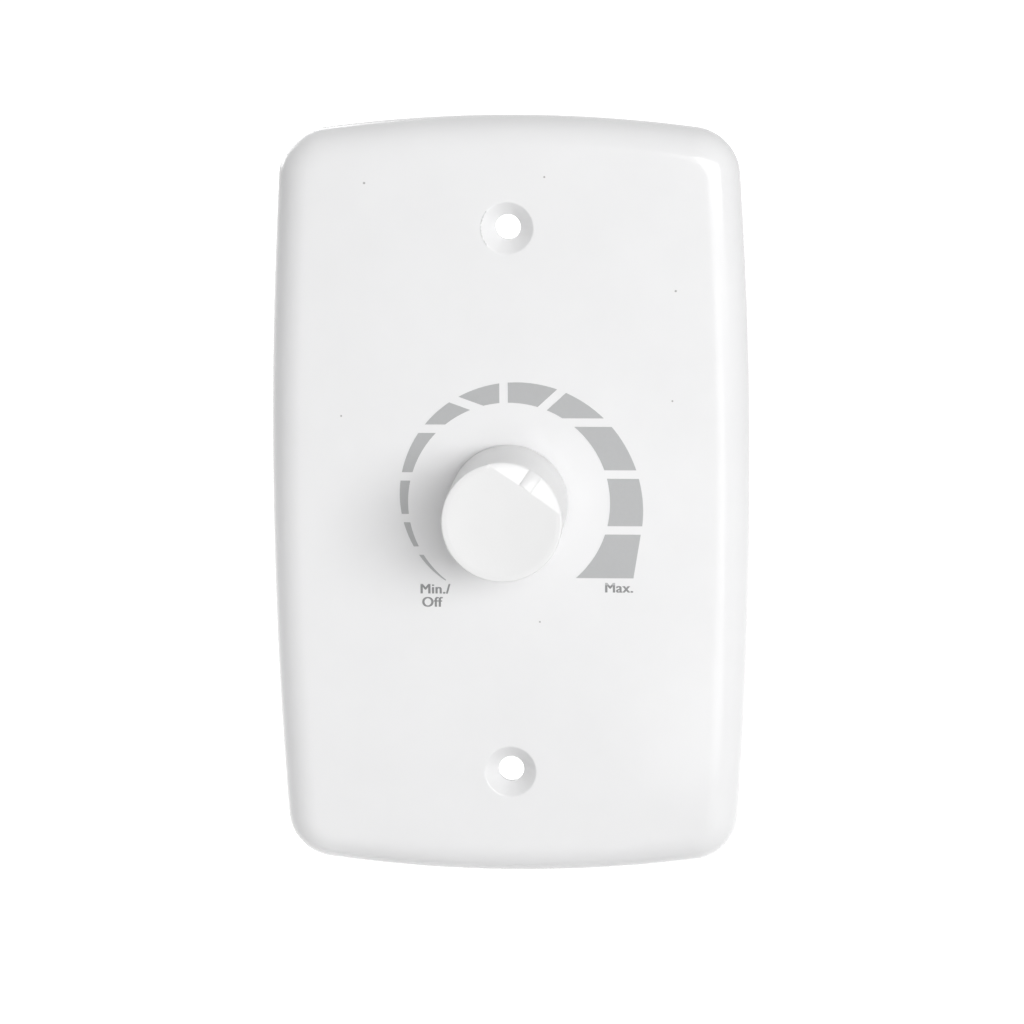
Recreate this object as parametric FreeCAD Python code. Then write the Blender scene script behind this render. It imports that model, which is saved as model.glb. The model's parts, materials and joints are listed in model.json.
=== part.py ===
import FreeCAD, Part
import math
import os

from FreeCAD import Vector

# Fan speed control switch for a single wall box.
# A pillow-edged face plate carries a rotary control: a potentiometer with a snap switch, nutted to the
# plate under the knob. Its terminals stand in a circuit board with the triac, the choke and the
# capacitors, inside a housing that is screwed to the back of the plate. Two rising-cage clamps at the
# housing's bottom take the fan's wires.
# Frame: X to the right, Y into the wall, Z up. The origin is on the knob's axis, in the plane of the
# plate's rear rim, which is the face of the wall. All sizes are in millimetres.

# Face plate
plate_width = 72.8
plate_height = 116.4
plate_depth = 5.6
side_bulge = 2.1
end_bulge = 2.8
corner_radius = 7.6
edge_round = 5.0
plate_wall = 2.0
box_screw_spacing = 83.3
box_screw_hole_d = 4.0
countersink_d = 8.1
screw_pad_d = 10.6
screw_pad_thickness = 3.0
rib_thickness = 1.2
rib_height = 2.8
end_rib_spacing = 28.0

# Printed speed scale: a crescent that widens clockwise, cut into eleven fields
scale_radius = 15.3
scale_start_deg = -141.0
scale_end_deg = 104.0
scale_start_width = 0.15
scale_growth_per_deg = 0.0206
scale_foot_x = 18.8
scale_foot_z = -11.5
scale_gap = 1.3
scale_gap_length = 9.0
scale_slanted_gaps = ((-0.7, 17.3, 90.0), (6.75, 15.9, 42.5), (-6.7, 15.2, -20.0))
scale_right_gaps = (12.3, 4.4, -4.15)
scale_left_gaps = (11.3, 4.0, -2.4, -7.4)
ink_thickness = 0.05

# Knob
knob_height = 17.5
knob_gap = 0.4
knob_d = 17.9
knob_edge_ease = 0.35
knob_dish_depth = 0.3
knob_dish_margin = 0.9
knob_wall = 1.5
knob_end_wall = 2.0
knob_boss_d = 10.4
knob_web_thickness = 0.9
knob_web_count = 6
facet_offset = 5.5
facet_slope_deg = 14.0
pointer_width = 2.2
pointer_height = 0.35
pointer_start = 0.6
pointer_rest_deg = 35.0
knob_travel_deg = 280.0

# Nut, washer and threaded bushing
nut_across_flats = 10.0
nut_thickness = 2.0
washer_d = 11.6
washer_thickness = 0.5
washer_notches = 12
bushing_d = 7.0
bushing_length = 6.0
thread_clearance = 0.05

# Shaft
shaft_d = 6.0
shaft_length = 16.5
shaft_across_flat = 4.5
shaft_running_clearance = 0.05
shaft_tail_d = 4.0
shaft_ring_thickness = 0.6
shaft_ring_d = 8.4
shaft_ring_groove = 0.5
clip_thickness = 0.35
clip_width = 4.0

# Potentiometer and its switch
pot_d = 16.6
pot_front_thickness = 1.0
pot_can_wall = 0.5
rotor_thickness = 2.0
rotor_gap = 0.6
stop_lug_half_deg = 10.0
stop_slack_deg = 0.5
stop_height = 0.8
locating_tab_width = 2.6
locating_tab_height = 1.0
locating_tab_radius = 6.6
wiper_thickness = 0.25
wiper_lift = 0.35
wiper_width = 3.2
wiper_contact = 0.8
wiper_gap = 0.05
track_thickness = 1.2
track_tongue_width = 13.0
track_tongue_reach = 11.2
terminal_pitch = 5.0
terminal_width = 1.1
terminal_thickness = 0.4
switch_depth = 5.2
switch_pin_spacing = 5.0
switch_pin_height = 6.0

# Circuit board
board_gap = 2.0
board_thickness = 1.6
board_clearance = 0.3
lead_d = 0.7
lead_bend = 1.0
lead_stub = 1.2
lead_hole_clearance = 0.15

# Rear housing
housing_width = 46.0
housing_height = 58.0
housing_depth = 27.6
housing_wall = 1.8
housing_corner = 3.0
housing_edge_ease = 1.2
housing_post = 4.0
ear_x = 16.0
ear_reach = 3.6
ear_radius = 3.6
ear_thickness = 2.0
boss_height_past_wall = 1.5
boss_d = 6.0
housing_screw_d = 2.6
housing_screw_length = 6.0
housing_screw_head_d = 5.0
housing_screw_head = 1.7
locating_wall = 1.0
locating_height = 2.0
fit_clearance = 0.15
vent_count = 6
vent_width = 1.8
vent_length = 9.0
vent_pitch = 6.0

# Triac and its heat sink
triac_width = 10.0
triac_body_length = 9.0
triac_tab_length = 6.5
triac_thickness = 4.5
triac_tab_thickness = 1.3
triac_leg_pitch = 2.5
triac_leg = 0.8
triac_lift = 2.0
triac_z = 3.0
sink_thickness = 1.5
sink_side_gap = 0.9
sink_top_gap = 4.4
sink_length = 29.0
sink_flange = 3.8
sink_rear_gap = 1.2
sink_lift = 0.6
machine_screw_d = 3.0
machine_head_d = 5.5
machine_head = 2.0
machine_nut_across_flats = 5.5
machine_nut = 2.4

# Capacitors, choke, resistors, trigger diode and fuse
filter_size = (17.5, 12.5, 8.0)
filter_x = -6.0
filter_top_gap = 4.6
timing_size = (7.5, 8.0, 4.5)
timing_side_gap = 2.0
timing_bottom_gap = 7.95
can_ease = 0.6
choke_side_gap = 2.4
choke_stand_off = 1.4
choke_outer_d = 15.0
choke_inner_d = 8.0
choke_core_height = 6.0
choke_wire = 0.8
choke_gap_deg = 50.0
resistor_d = 2.3
resistor_length = 6.0
resistor_span = 8.4
resistor_side_gap = 2.45
resistor_block_gap = 0.3
resistor_pitch = 2.8
resistor_count = 3
diode_d = 1.8
diode_length = 3.6
diode_span = 6.6
diode_x = 9.0
diode_top_gap = 2.1
fuse_d = 3.0
fuse_length = 8.0
fuse_span = 10.6
fuse_side_gap = 4.55
fuse_block_gap = 1.5

# Terminal block with rising cages
block_width = 19.0
block_depth_z = 12.2
pole_pitch = 9.0
block_floor = 1.0
block_front_wall = 3.0
wire_bore_d = 3.4
cage_width = 5.4
cage_side = 0.7
cage_floor = 0.8
cage_roof = 1.4
cage_length = 6.0
cage_travel = 3.0
cage_clearance = 0.15
strip_thickness = 0.8
strip_leg = 1.2
clamp_screw_d = 2.9
clamp_head_d = 4.6
clamp_head = 1.5
clamp_slot = 0.7
clamp_bridge = 0.6
clamp_access_d = 3.4

# Places that follow from the sizes
front_y = -plate_depth
seat_y = front_y + plate_wall
knob_rim_y = front_y - knob_gap
knob_face_y = front_y - knob_height
washer_y = front_y - washer_thickness
nut_y = washer_y - nut_thickness
bushing_tip_y = seat_y - bushing_length
shaft_tip_y = seat_y - shaft_length
shaft_flat_end_y = bushing_tip_y - knob_gap
knob_boss_y = bushing_tip_y - 2 * knob_gap
pot_front_y = seat_y + pot_front_thickness
ring_y = pot_front_y + 0.1
rotor_y = pot_front_y + stop_height + 0.3
rotor_rear_y = rotor_y + rotor_thickness
track_y = rotor_rear_y + wiper_thickness + wiper_lift + wiper_gap
track_rear_y = track_y + track_thickness
switch_rear_y = track_rear_y + switch_depth
board_y = switch_rear_y + board_gap
board_rear_y = board_y + board_thickness
housing_rear_y = housing_depth
housing_inner_y = housing_rear_y - housing_wall
housing_inner_width = housing_width - 2 * housing_wall
housing_inner_height = housing_height - 2 * housing_wall
half_inner_width = housing_inner_width / 2
half_inner_height = housing_inner_height / 2
ear_z = housing_height / 2 + ear_reach
block_low_z = -housing_height / 2
block_high_z = block_low_z + block_depth_z
winding_d = choke_outer_d + 2 * choke_wire
sink_x = half_inner_width - sink_side_gap - sink_flange - sink_thickness
sink_high_z = half_inner_height - sink_top_gap
sink_low_z = sink_high_z - sink_length
filter_place = (filter_x, half_inner_height - filter_top_gap - filter_size[2] / 2)
fuse_place = (
    fuse_side_gap + (fuse_span + lead_d) / 2 - half_inner_width,
    block_high_z + fuse_block_gap + fuse_d / 2,
)
timing_place = (
    timing_side_gap + timing_size[0] / 2 - half_inner_width,
    timing_bottom_gap + timing_size[2] / 2 - half_inner_height,
)
resistor_place = (
    half_inner_width - resistor_side_gap - (resistor_span + lead_d) / 2,
    block_high_z + resistor_block_gap + lead_d / 2,
)
diode_place = (diode_x, half_inner_height - diode_top_gap - diode_d / 2)
choke_room_z = (fuse_place[1] + fuse_d / 2, filter_place[1] - filter_size[2] / 2)
choke_place = (choke_side_gap + winding_d / 2 - half_inner_width, sum(choke_room_z) / 2)
choke_y = board_rear_y + choke_stand_off
stub_front_y = board_y - lead_stub
stub_rear_y = board_rear_y + lead_stub
rest_turn = (Vector(0, 0, 0), Vector(0, 1, 0), pointer_rest_deg)


def block(x, y, z):
    """Box from three (low, high) pairs."""
    return Part.makeBox(x[1] - x[0], y[1] - y[0], z[1] - z[0], Vector(x[0], y[0], z[0]))


def centred(width, y, height, at=(0.0, 0.0)):
    """Box of a width and a height about a point of the front view, between two depths."""
    x, z = at
    return block((x - width / 2, x + width / 2), y, (z - height / 2, z + height / 2))


def disc(diameter, y, at=(0.0, 0.0)):
    """Cylinder along Y between two depths."""
    return Part.makeCylinder(diameter / 2, y[1] - y[0], Vector(at[0], y[0], at[1]), Vector(0, 1, 0))


def ring(outer_d, inner_d, y, at=(0.0, 0.0)):
    """Tube along Y between two depths."""
    return disc(outer_d, y, at).cut(disc(inner_d, y, at))


def frustum(front_d, rear_d, y, at=(0.0, 0.0)):
    """Cone along Y between two depths."""
    base = Vector(at[0], y[0], at[1])
    return Part.makeCone(front_d / 2, rear_d / 2, y[1] - y[0], base, Vector(0, 1, 0))


def hexagon(across_flats, y, at=(0.0, 0.0)):
    """Hexagonal prism along Y."""
    corner = across_flats / math.sqrt(3)
    angles = [math.radians(60 * i) for i in range(7)]
    points = [Vector(at[0] + corner * math.cos(a), y[0], at[1] + corner * math.sin(a)) for a in angles]
    return Part.Face(Part.makePolygon(points)).extrude(Vector(0, y[1] - y[0], 0))


def sector(outer_d, inner_d, y, middle_deg, half_deg):
    """Part of a tube along Y, about a direction counted clockwise from up in the front view."""
    start, end = math.radians(middle_deg - half_deg), math.radians(middle_deg + half_deg)
    middle = math.radians(middle_deg)
    spots = {}
    for radius in (outer_d / 2, inner_d / 2):
        spots[radius] = [Vector(radius * math.sin(a), y[0], radius * math.cos(a)) for a in (start, middle, end)]
    outer, inner = spots[outer_d / 2], spots[inner_d / 2]
    edges = [
        Part.Arc(*outer).toShape(),
        Part.makeLine(outer[2], inner[2]),
        Part.Arc(*reversed(inner)).toShape(),
        Part.makeLine(inner[0], outer[0]),
    ]
    return Part.Face(Part.Wire(edges)).extrude(Vector(0, y[1] - y[0], 0))


def rounded(width, y, height, radius):
    """Box about the axis with its four edges along Y rounded."""
    solid = centred(width, y, height)
    uprights = [e for e in solid.Edges if abs(e.tangentAt(e.FirstParameter).y) > 0.99]
    return solid.makeFillet(radius, uprights)


def profile(points, x):
    """Prism along X from (y, z) points."""
    corners = [Vector(x[0], y, z) for y, z in points + points[:1]]
    return Part.Face(Part.makePolygon(corners)).extrude(Vector(x[1] - x[0], 0, 0))


def joined(pieces):
    """One solid from pieces that touch or overlap."""
    return pieces[0].multiFuse(pieces[1:]).removeSplitter()


def drilled(solid, tools):
    """The solid with every tool cut away."""
    return solid.cut(Part.makeCompound(tools))


def quadrants(x, z):
    """The four mirror places of a point of the front view."""
    return [(i * x, j * z) for i in (-1, 1) for j in (-1, 1)]


def crown_radius(half_chord, bulge):
    """Radius of the arc that rises by a bulge over a chord."""
    return (half_chord ** 2 + bulge ** 2) / (2 * bulge)


def plate_outline(inset, y):
    """Plate's outline drawn in by an inset: two crowned sides, two crowned ends and four corners, all tangent."""
    side_r = crown_radius(plate_height / 2 - end_bulge, side_bulge)
    end_r = crown_radius(plate_width / 2 - side_bulge, end_bulge)
    side_centre = Vector(plate_width / 2 - side_r, y, 0)
    end_centre = Vector(0, y, plate_height / 2 - end_r)
    between = end_centre - side_centre
    near, far = side_r - corner_radius, end_r - corner_radius
    along = (near ** 2 - far ** 2 + between.Length ** 2) / (2 * between.Length)
    across = math.sqrt(near ** 2 - along ** 2)
    unit = between.normalize()
    corner = side_centre + unit * along + Vector(-unit.z, 0, unit.x) * across
    to_side = (corner - side_centre).normalize()
    to_end = (corner - end_centre).normalize()
    to_middle = (to_side + to_end).normalize()
    on_side, middle, on_end = (corner + way * (corner_radius - inset) for way in (to_side, to_middle, to_end))

    def mirrored(point, i, j):
        return Vector(i * point.x, y, j * point.z)

    edges = []
    for i, j in ((1, 1), (1, -1), (-1, -1), (-1, 1)):
        edges.append(Part.Arc(*(mirrored(point, i, j) for point in (on_side, middle, on_end))).toShape())
    for i in (-1, 1):
        side_crown = Vector(i * (plate_width / 2 - inset), y, 0)
        end_crown = Vector(0, y, i * (plate_height / 2 - inset))
        edges.append(Part.Arc(mirrored(on_side, i, 1), side_crown, mirrored(on_side, i, -1)).toShape())
        edges.append(Part.Arc(mirrored(on_end, 1, i), end_crown, mirrored(on_end, -1, i)).toShape())
    return Part.Wire(Part.sortEdges(edges)[0])


def pillow(inset):
    """Straight-walled body on the plate's outline, drawn in by an inset, and the edges of its front rim."""
    y = front_y + inset
    solid = Part.Face(plate_outline(inset, y)).extrude(Vector(0, plate_depth - inset, 0))
    rim = [e for e in solid.Edges if e.BoundBox.YMax < y + 1e-6]
    return solid, rim


def face_plate():
    """Moulded plate: shell, screw pads, ribs, housing bosses and the control's hole."""
    outer, outer_rim = pillow(0.0)
    hollow, hollow_rim = pillow(plate_wall)
    even_wall = (edge_round - plate_wall) * (2 - math.sqrt(2))
    hollow = hollow.makeChamfer(even_wall, hollow_rim)
    shell = outer.makeFillet(edge_round, outer_rim).cut(hollow)
    half_spacing = box_screw_spacing / 2
    rib_y = (seat_y, seat_y + rib_height)
    pad_y = (seat_y, front_y + screw_pad_thickness)
    frame_width = housing_width + 2 * (fit_clearance + locating_wall)
    frame_height = housing_height + 2 * (fit_clearance + locating_wall)
    locating_y = (seat_y, seat_y + locating_height)
    frame = centred(frame_width, locating_y, frame_height).cut(
        rounded(frame_width - 2 * locating_wall, locating_y, frame_height - 2 * locating_wall, housing_corner)
    )
    ribs = []
    for x in (-end_rib_spacing / 2, end_rib_spacing / 2):
        for side in (-1, 1):
            reach = sorted((side * (frame_height / 2 - locating_wall), side * plate_height / 2))
            ribs.append(block((x - rib_thickness / 2, x + rib_thickness / 2), rib_y, reach).common(hollow))
    pads = [disc(screw_pad_d, pad_y, (0, side * half_spacing)) for side in (-1, 1)]
    boss_y = (seat_y, boss_height_past_wall)
    bosses = [disc(boss_d, boss_y, at) for at in quadrants(ear_x, ear_z)]
    plate = joined([shell, frame] + ribs + pads + bosses)

    tools = [disc(bushing_d + 2 * fit_clearance, (front_y, seat_y))]
    cone_depth = (countersink_d - box_screw_hole_d) / 2
    for side in (-1, 1):
        at = (0, side * half_spacing)
        tools.append(disc(box_screw_hole_d, (front_y, pad_y[1]), at))
        tools.append(frustum(countersink_d, box_screw_hole_d, (front_y, front_y + cone_depth), at))
    pilot_y = (boss_height_past_wall + ear_thickness - housing_screw_length, boss_height_past_wall)
    tools += [disc(housing_screw_d, pilot_y, at) for at in quadrants(ear_x, ear_z)]
    recess_y = (seat_y - locating_tab_height - fit_clearance, seat_y)
    recess = centred(
        locating_tab_width + 2 * fit_clearance,
        recess_y,
        pot_front_thickness + 2 * fit_clearance,
        (0, locating_tab_radius),
    )
    return drilled(plate, tools + [recess])


def speed_scale_print():
    """Eleven ink fields of the crescent, each a thin solid on the plate's face."""

    def spiral(deg):
        angle = math.radians(deg)
        radius = scale_radius + scale_start_width + scale_growth_per_deg * (deg - scale_start_deg)
        return Vector(radius * math.sin(angle), front_y - ink_thickness, radius * math.cos(angle))

    def on_circle(angle):
        return Vector(scale_radius * math.sin(angle), front_y - ink_thickness, scale_radius * math.cos(angle))

    steps = 9
    span = scale_end_deg - scale_start_deg
    outer = Part.BSplineCurve()
    outer.interpolate([spiral(scale_start_deg + span * i / steps) for i in range(steps + 1)])
    foot = Vector(scale_foot_x, front_y - ink_thickness, scale_foot_z)
    inner_end = math.acos(scale_foot_z / scale_radius)
    start = math.radians(scale_start_deg)
    edges = [
        outer.toShape(),
        Part.makeLine(spiral(scale_end_deg), foot),
        Part.makeLine(foot, on_circle(inner_end)),
        Part.Arc(on_circle(inner_end), on_circle(0), on_circle(start)).toShape(),
        Part.makeLine(on_circle(start), spiral(scale_start_deg)),
    ]
    band = Part.Face(Part.Wire(edges)).extrude(Vector(0, ink_thickness, 0))

    def gap(x, z, deg, length):
        """Cutter through one gap: a bar about a point, turned anticlockwise from level."""
        bar = centred(length, (front_y - 1, front_y + 1), scale_gap, (x, z))
        bar.rotate(Vector(x, 0, z), Vector(0, 1, 0), -deg)
        return bar

    reach = 2 * scale_radius
    bars = [gap(x, z, deg, scale_gap_length) for x, z, deg in scale_slanted_gaps]
    bars += [gap(reach / 2, z, 0, reach) for z in scale_right_gaps]
    bars += [gap(-reach / 2, z, 0, reach) for z in scale_left_gaps]
    return drilled(band, bars)


def knob():
    """Turned cup with a dished face, a slanted facet, a rounded pointer on it and a webbed D-bored boss."""
    inner_y = knob_face_y + knob_end_wall
    inner_r = knob_d / 2 - knob_wall
    barrel = disc(knob_d, (knob_face_y, knob_rim_y))
    face_rim = [e for e in barrel.Edges if e.BoundBox.YMax < knob_face_y + 1e-6]
    cup = barrel.makeChamfer(knob_edge_ease, face_rim).cut(disc(2 * inner_r, (inner_y, knob_rim_y)))
    dish_r = knob_d / 2 - knob_dish_margin
    dish_sphere_r = (dish_r ** 2 + knob_dish_depth ** 2) / (2 * knob_dish_depth)
    dish = Part.makeSphere(dish_sphere_r, Vector(0, knob_face_y + knob_dish_depth - dish_sphere_r, 0))

    boss = disc(knob_boss_d, (inner_y - fit_clearance, knob_boss_y))
    hub = shaft_d / 2
    webs = []
    for i in range(knob_web_count):
        web = block(
            (-knob_web_thickness / 2, knob_web_thickness / 2),
            (inner_y - fit_clearance, knob_boss_y - knob_wall),
            (hub, inner_r + fit_clearance),
        )
        web.rotate(Vector(0, 0, 0), Vector(0, 1, 0), 360.0 * (i + 0.5) / knob_web_count)
        webs.append(web)
    body = joined([cup, boss] + webs)

    bore_d = shaft_d + 2 * fit_clearance
    bore_y = (shaft_tip_y - 2 * fit_clearance, knob_boss_y)
    flat_z = shaft_d / 2 - shaft_across_flat - clip_thickness - 2 * fit_clearance
    bore = disc(bore_d, bore_y).cut(block((-hub * 2, hub * 2), bore_y, (-hub * 2, flat_z)))
    turned = joined([body.cut(dish).cut(facet_cutter()), pointer()]).cut(bore)
    turned.rotate(*rest_turn)
    return turned


def facet_cutter():
    """Wedge that cuts the knob's rim along a plane sloping away from the face, at an offset from the axis."""
    slope = math.tan(math.radians(facet_slope_deg))
    margin = 1.0
    far_z = knob_d
    points = [
        (knob_face_y - margin, facet_offset - margin / slope),
        (knob_face_y - margin, far_z),
        (knob_face_y + (far_z - facet_offset) * slope, far_z),
    ]
    return profile(points, (-far_z, far_z))


def pointer():
    """Half-round bar down the middle of the facet, from near its inner edge to the knob's wall."""
    slope = math.radians(facet_slope_deg)
    radius = crown_radius(pointer_width / 2, pointer_height)
    outwards = Vector(0, -math.cos(slope), math.sin(slope))
    along = Vector(0, math.sin(slope), math.cos(slope))
    start = Vector(0, knob_face_y, facet_offset) + along * pointer_start - outwards * (radius - pointer_height)
    bar = Part.makeCylinder(radius, knob_d, start, along)
    return bar.common(disc(knob_d, (knob_face_y, knob_face_y + knob_end_wall)))


def knob_spring_clip():
    """Bowed steel leaf between the knob's bore and the shaft's flat, hooked over the shaft's tip."""
    flat_z = shaft_d / 2 - shaft_across_flat
    low_z = flat_z - clip_thickness - 2 * fit_clearance
    tip_y = shaft_tip_y - 2 * fit_clearance
    end_y = knob_boss_y - 2 * fit_clearance
    middle_y = (tip_y + end_y) / 2
    outer = Part.Arc(Vector(0, tip_y, low_z), Vector(0, middle_y, flat_z - clip_thickness), Vector(0, end_y, low_z))
    inner = Part.Arc(
        Vector(0, end_y, low_z + clip_thickness),
        Vector(0, middle_y, flat_z),
        Vector(0, tip_y, low_z + clip_thickness),
    )
    outline = [
        outer.toShape(),
        Part.makeLine(Vector(0, end_y, low_z), Vector(0, end_y, low_z + clip_thickness)),
        inner.toShape(),
        Part.makeLine(Vector(0, tip_y, low_z + clip_thickness), Vector(0, tip_y, low_z)),
    ]
    clip = Part.Face(Part.Wire(outline)).extrude(Vector(clip_width, 0, 0))
    clip.translate(Vector(-clip_width / 2, 0, 0))
    clip.rotate(*rest_turn)
    return clip


def mounting_nut():
    """Thin hexagon nut on the bushing, with its front corners chamfered."""
    y = (nut_y, washer_y)
    nut = hexagon(nut_across_flats, y)
    corner_d = 2 * nut_across_flats / math.sqrt(3)
    chamfer = frustum(nut_across_flats, nut_across_flats + 2 * nut_thickness, y)
    nut = nut.common(chamfer.common(disc(corner_d, y)))
    return nut.cut(disc(bushing_d + 2 * thread_clearance, y))


def lock_washer():
    """Shakeproof washer with notches round its rim."""
    y = (washer_y, front_y)
    washer = ring(washer_d, bushing_d + 2 * thread_clearance, y)
    notches = []
    for i in range(washer_notches):
        notch = block((-washer_thickness, washer_thickness), y, (washer_d / 2 - 2 * washer_thickness, washer_d))
        notch.rotate(Vector(0, 0, 0), Vector(0, 1, 0), 360.0 * i / washer_notches)
        notches.append(notch)
    return drilled(washer, notches)


def pot_bushing():
    """Die-cast front plate with the threaded bushing, the locating tab and the rotor's stop."""
    plate = disc(pot_d, (seat_y, pot_front_y))
    neck = disc(bushing_d, (bushing_tip_y, seat_y))
    tab = centred(
        locating_tab_width,
        (seat_y - locating_tab_height, seat_y),
        pot_front_thickness,
        (0, locating_tab_radius),
    )
    stop_half = 180.0 - knob_travel_deg / 2 - stop_lug_half_deg - stop_slack_deg
    stop = sector(stop_outer_d(), stop_inner_d(), (seat_y, pot_front_y + stop_height), 180.0, stop_half)
    body = joined([plate, neck, tab, stop])
    notches = [tab_notch(deg, fit_clearance, (seat_y, pot_front_y)) for deg in crimp_angles()]
    bore = disc(shaft_d + 2 * shaft_running_clearance, (bushing_tip_y, pot_front_y))
    return drilled(body, notches + [bore])


def stop_outer_d():
    """Outer diameter of the rotor's lug and of its stop."""
    return pot_d - 2 * pot_can_wall - 2 * rotor_gap


def stop_inner_d():
    """Inner diameter of the rotor's lug and of its stop, clear of the retaining ring."""
    return shaft_ring_d + 2 * rotor_gap


def crimp_angles():
    """Directions of the cover's four crimp tabs, clockwise from up."""
    return (45.0, 135.0, 225.0, 315.0)


def tab_notch(deg, clearance, y):
    """Space of one crimp tab at the rim of the control's front plate, widened by a clearance."""
    width = locating_tab_width + 2 * clearance
    space = block(
        (-width / 2, width / 2),
        y,
        (pot_d / 2 - pot_can_wall - clearance, pot_d / 2 + 1),
    )
    space.rotate(Vector(0, 0, 0), Vector(0, 1, 0), deg)
    return space


def pot_shaft():
    """Shaft with a D flat at the knob, a ring groove, and a thinner tail that works the switch."""
    step_y = rotor_rear_y
    body = disc(shaft_d, (shaft_tip_y, step_y))
    tail = disc(shaft_tail_d, (step_y, track_rear_y - fit_clearance))
    flat_z = shaft_d / 2 - shaft_across_flat
    far = shaft_d
    front_flat = block((-far, far), (shaft_tip_y, shaft_flat_end_y), (-far, flat_z))
    rear_flat = block((-far, far), (rotor_y, step_y), (-far, flat_z))
    groove = ring(2 * shaft_d, shaft_d - 2 * shaft_ring_groove, (ring_y, ring_y + shaft_ring_thickness))
    shaft = drilled(joined([body, tail]), [front_flat, rear_flat, groove])
    tip = [e for e in shaft.Edges if e.BoundBox.YMax < shaft_tip_y + 1e-6]
    shaft = shaft.makeChamfer(shaft_ring_groove / 2, tip)
    shaft.rotate(*rest_turn)
    return shaft


def shaft_ring():
    """Open retaining ring in the shaft's groove, behind the bushing."""
    y = (ring_y, ring_y + shaft_ring_thickness)
    body = ring(shaft_ring_d, shaft_d - 2 * shaft_ring_groove, y)
    mouth_half = shaft_d / 2 - shaft_ring_groove
    mouth = block((-mouth_half * 0.8, mouth_half * 0.8), y, (-shaft_ring_d, 0))
    opened = body.cut(mouth)
    opened.rotate(*rest_turn)
    return opened


def pot_rotor():
    """Moulded rotor on the shaft's rear flat, with the lug that meets the stop."""
    y = (rotor_y, rotor_rear_y)
    rotor = disc(stop_outer_d(), y)
    lug_y = (rotor_y - stop_height, rotor_y)
    lug = sector(stop_outer_d(), stop_inner_d(), lug_y, 0.0, stop_lug_half_deg)
    flat_z = shaft_d / 2 - shaft_across_flat
    far = shaft_d
    bore = disc(shaft_d, y).cut(block((-far, far), y, (-far, flat_z)))
    body = joined([rotor, lug]).cut(bore)
    body.rotate(*rest_turn)
    return body


def pot_wiper():
    """Spring leaf on the rotor's rear face, with a raised contact over each of the wafer's two tracks."""
    y = (rotor_rear_y, rotor_rear_y + wiper_thickness)
    contact_y = (rotor_rear_y, rotor_rear_y + wiper_thickness + wiper_lift)
    z = (shaft_d / 2, stop_outer_d() / 2 - wiper_lift)
    half = wiper_width / 2
    leaf = block((-half, half), y, z)
    contacts = [
        block((-half, half), contact_y, (z[0], z[0] + wiper_contact)),
        block((-half, half), contact_y, (z[1] - wiper_contact, z[1])),
    ]
    body = joined([leaf] + contacts)
    body.rotate(*rest_turn)
    return body


def pot_track():
    """Resistance wafer with the tongue that carries the terminals."""
    y = (track_y, track_rear_y)
    wafer = disc(pot_d - 2 * pot_can_wall - 2 * thread_clearance, y)
    tongue = block((-track_tongue_width / 2, track_tongue_width / 2), y, (-track_tongue_reach, 0))
    hole = disc(shaft_tail_d + 4 * fit_clearance, y)
    return joined([wafer, tongue]).cut(hole)


def pot_terminals():
    """Three bent terminals from the wafer's tongue into the board."""
    near_z = -pot_d / 2 - fit_clearance
    far_z = -track_tongue_reach + terminal_thickness
    points = [
        (track_rear_y, near_z),
        (track_rear_y, far_z - terminal_thickness),
        (stub_rear_y, far_z - terminal_thickness),
        (stub_rear_y, far_z),
        (track_rear_y + terminal_thickness, far_z),
        (track_rear_y + terminal_thickness, near_z),
    ]
    places = [i * terminal_pitch for i in (-1, 0, 1)]
    return [profile(points, (x - terminal_width / 2, x + terminal_width / 2)) for x in places]


def pot_cover():
    """Steel sleeve round the rotor, with four tabs crimped into the front plate's notches."""
    y = (pot_front_y, track_rear_y)
    sleeve = ring(pot_d, pot_d - 2 * pot_can_wall, y)
    shell = ring(pot_d, pot_d - 2 * pot_can_wall, (seat_y + fit_clearance, pot_front_y))
    tabs = [shell.common(tab_notch(deg, 0.0, (seat_y, pot_front_y))) for deg in crimp_angles()]
    slot_half = track_tongue_width / 2 + fit_clearance
    slot = block((-slot_half, slot_half), (track_y - fit_clearance, track_rear_y), (-pot_d, 0))
    return joined([sleeve] + tabs).cut(slot)


def pot_switch():
    """Snap switch section behind the wafer, moulded shut."""
    return disc(pot_d, (track_rear_y, switch_rear_y))


def switch_terminals():
    """Two straight pins from the switch into the board."""
    places = [(i * switch_pin_spacing / 2, switch_pin_height) for i in (-1, 1)]
    return [centred(terminal_width, (switch_rear_y, stub_rear_y), terminal_thickness, at) for at in places]


def lead_staple(span, y_line, y_end, at):
    """Both leads of an axial part as one flat wire: along X through its line, then turned into the board."""
    x, z = at
    side = 1 if y_end > y_line else -1
    half, r = span / 2, lead_d / 2
    right = [
        (half + r - lead_bend, y_line - side * r),
        (half + r, y_line + side * (lead_bend - r)),
        (half + r, y_end),
        (half - r, y_end),
        (half - r, y_line + side * lead_bend),
        (half - lead_bend, y_line + side * r),
    ]
    left = [(-px, py) for px, py in reversed(right)]
    corners = [Vector(x + px, py, z - r) for px, py in right + left + right[:1]]
    return Part.Face(Part.makePolygon(corners)).extrude(Vector(0, 0, lead_d))


def axial_part(diameter, length, span, y_line, y_end, at):
    """Axial component along X with its two leads, as one solid."""
    x, z = at
    body = Part.makeCylinder(diameter / 2, length, Vector(x - length / 2, y_line, z), Vector(1, 0, 0))
    return joined([body, lead_staple(span, y_line, y_end, at)])


def resistor_places():
    """Centres of the row of resistors."""
    x, z = resistor_place
    return [(x, z + i * resistor_pitch) for i in range(resistor_count)]


def resistors():
    """Row of resistors on the board's front."""
    line = board_y - resistor_d / 2
    return [
        axial_part(resistor_d, resistor_length, resistor_span, line, stub_rear_y, at)
        for at in resistor_places()
    ]


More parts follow.
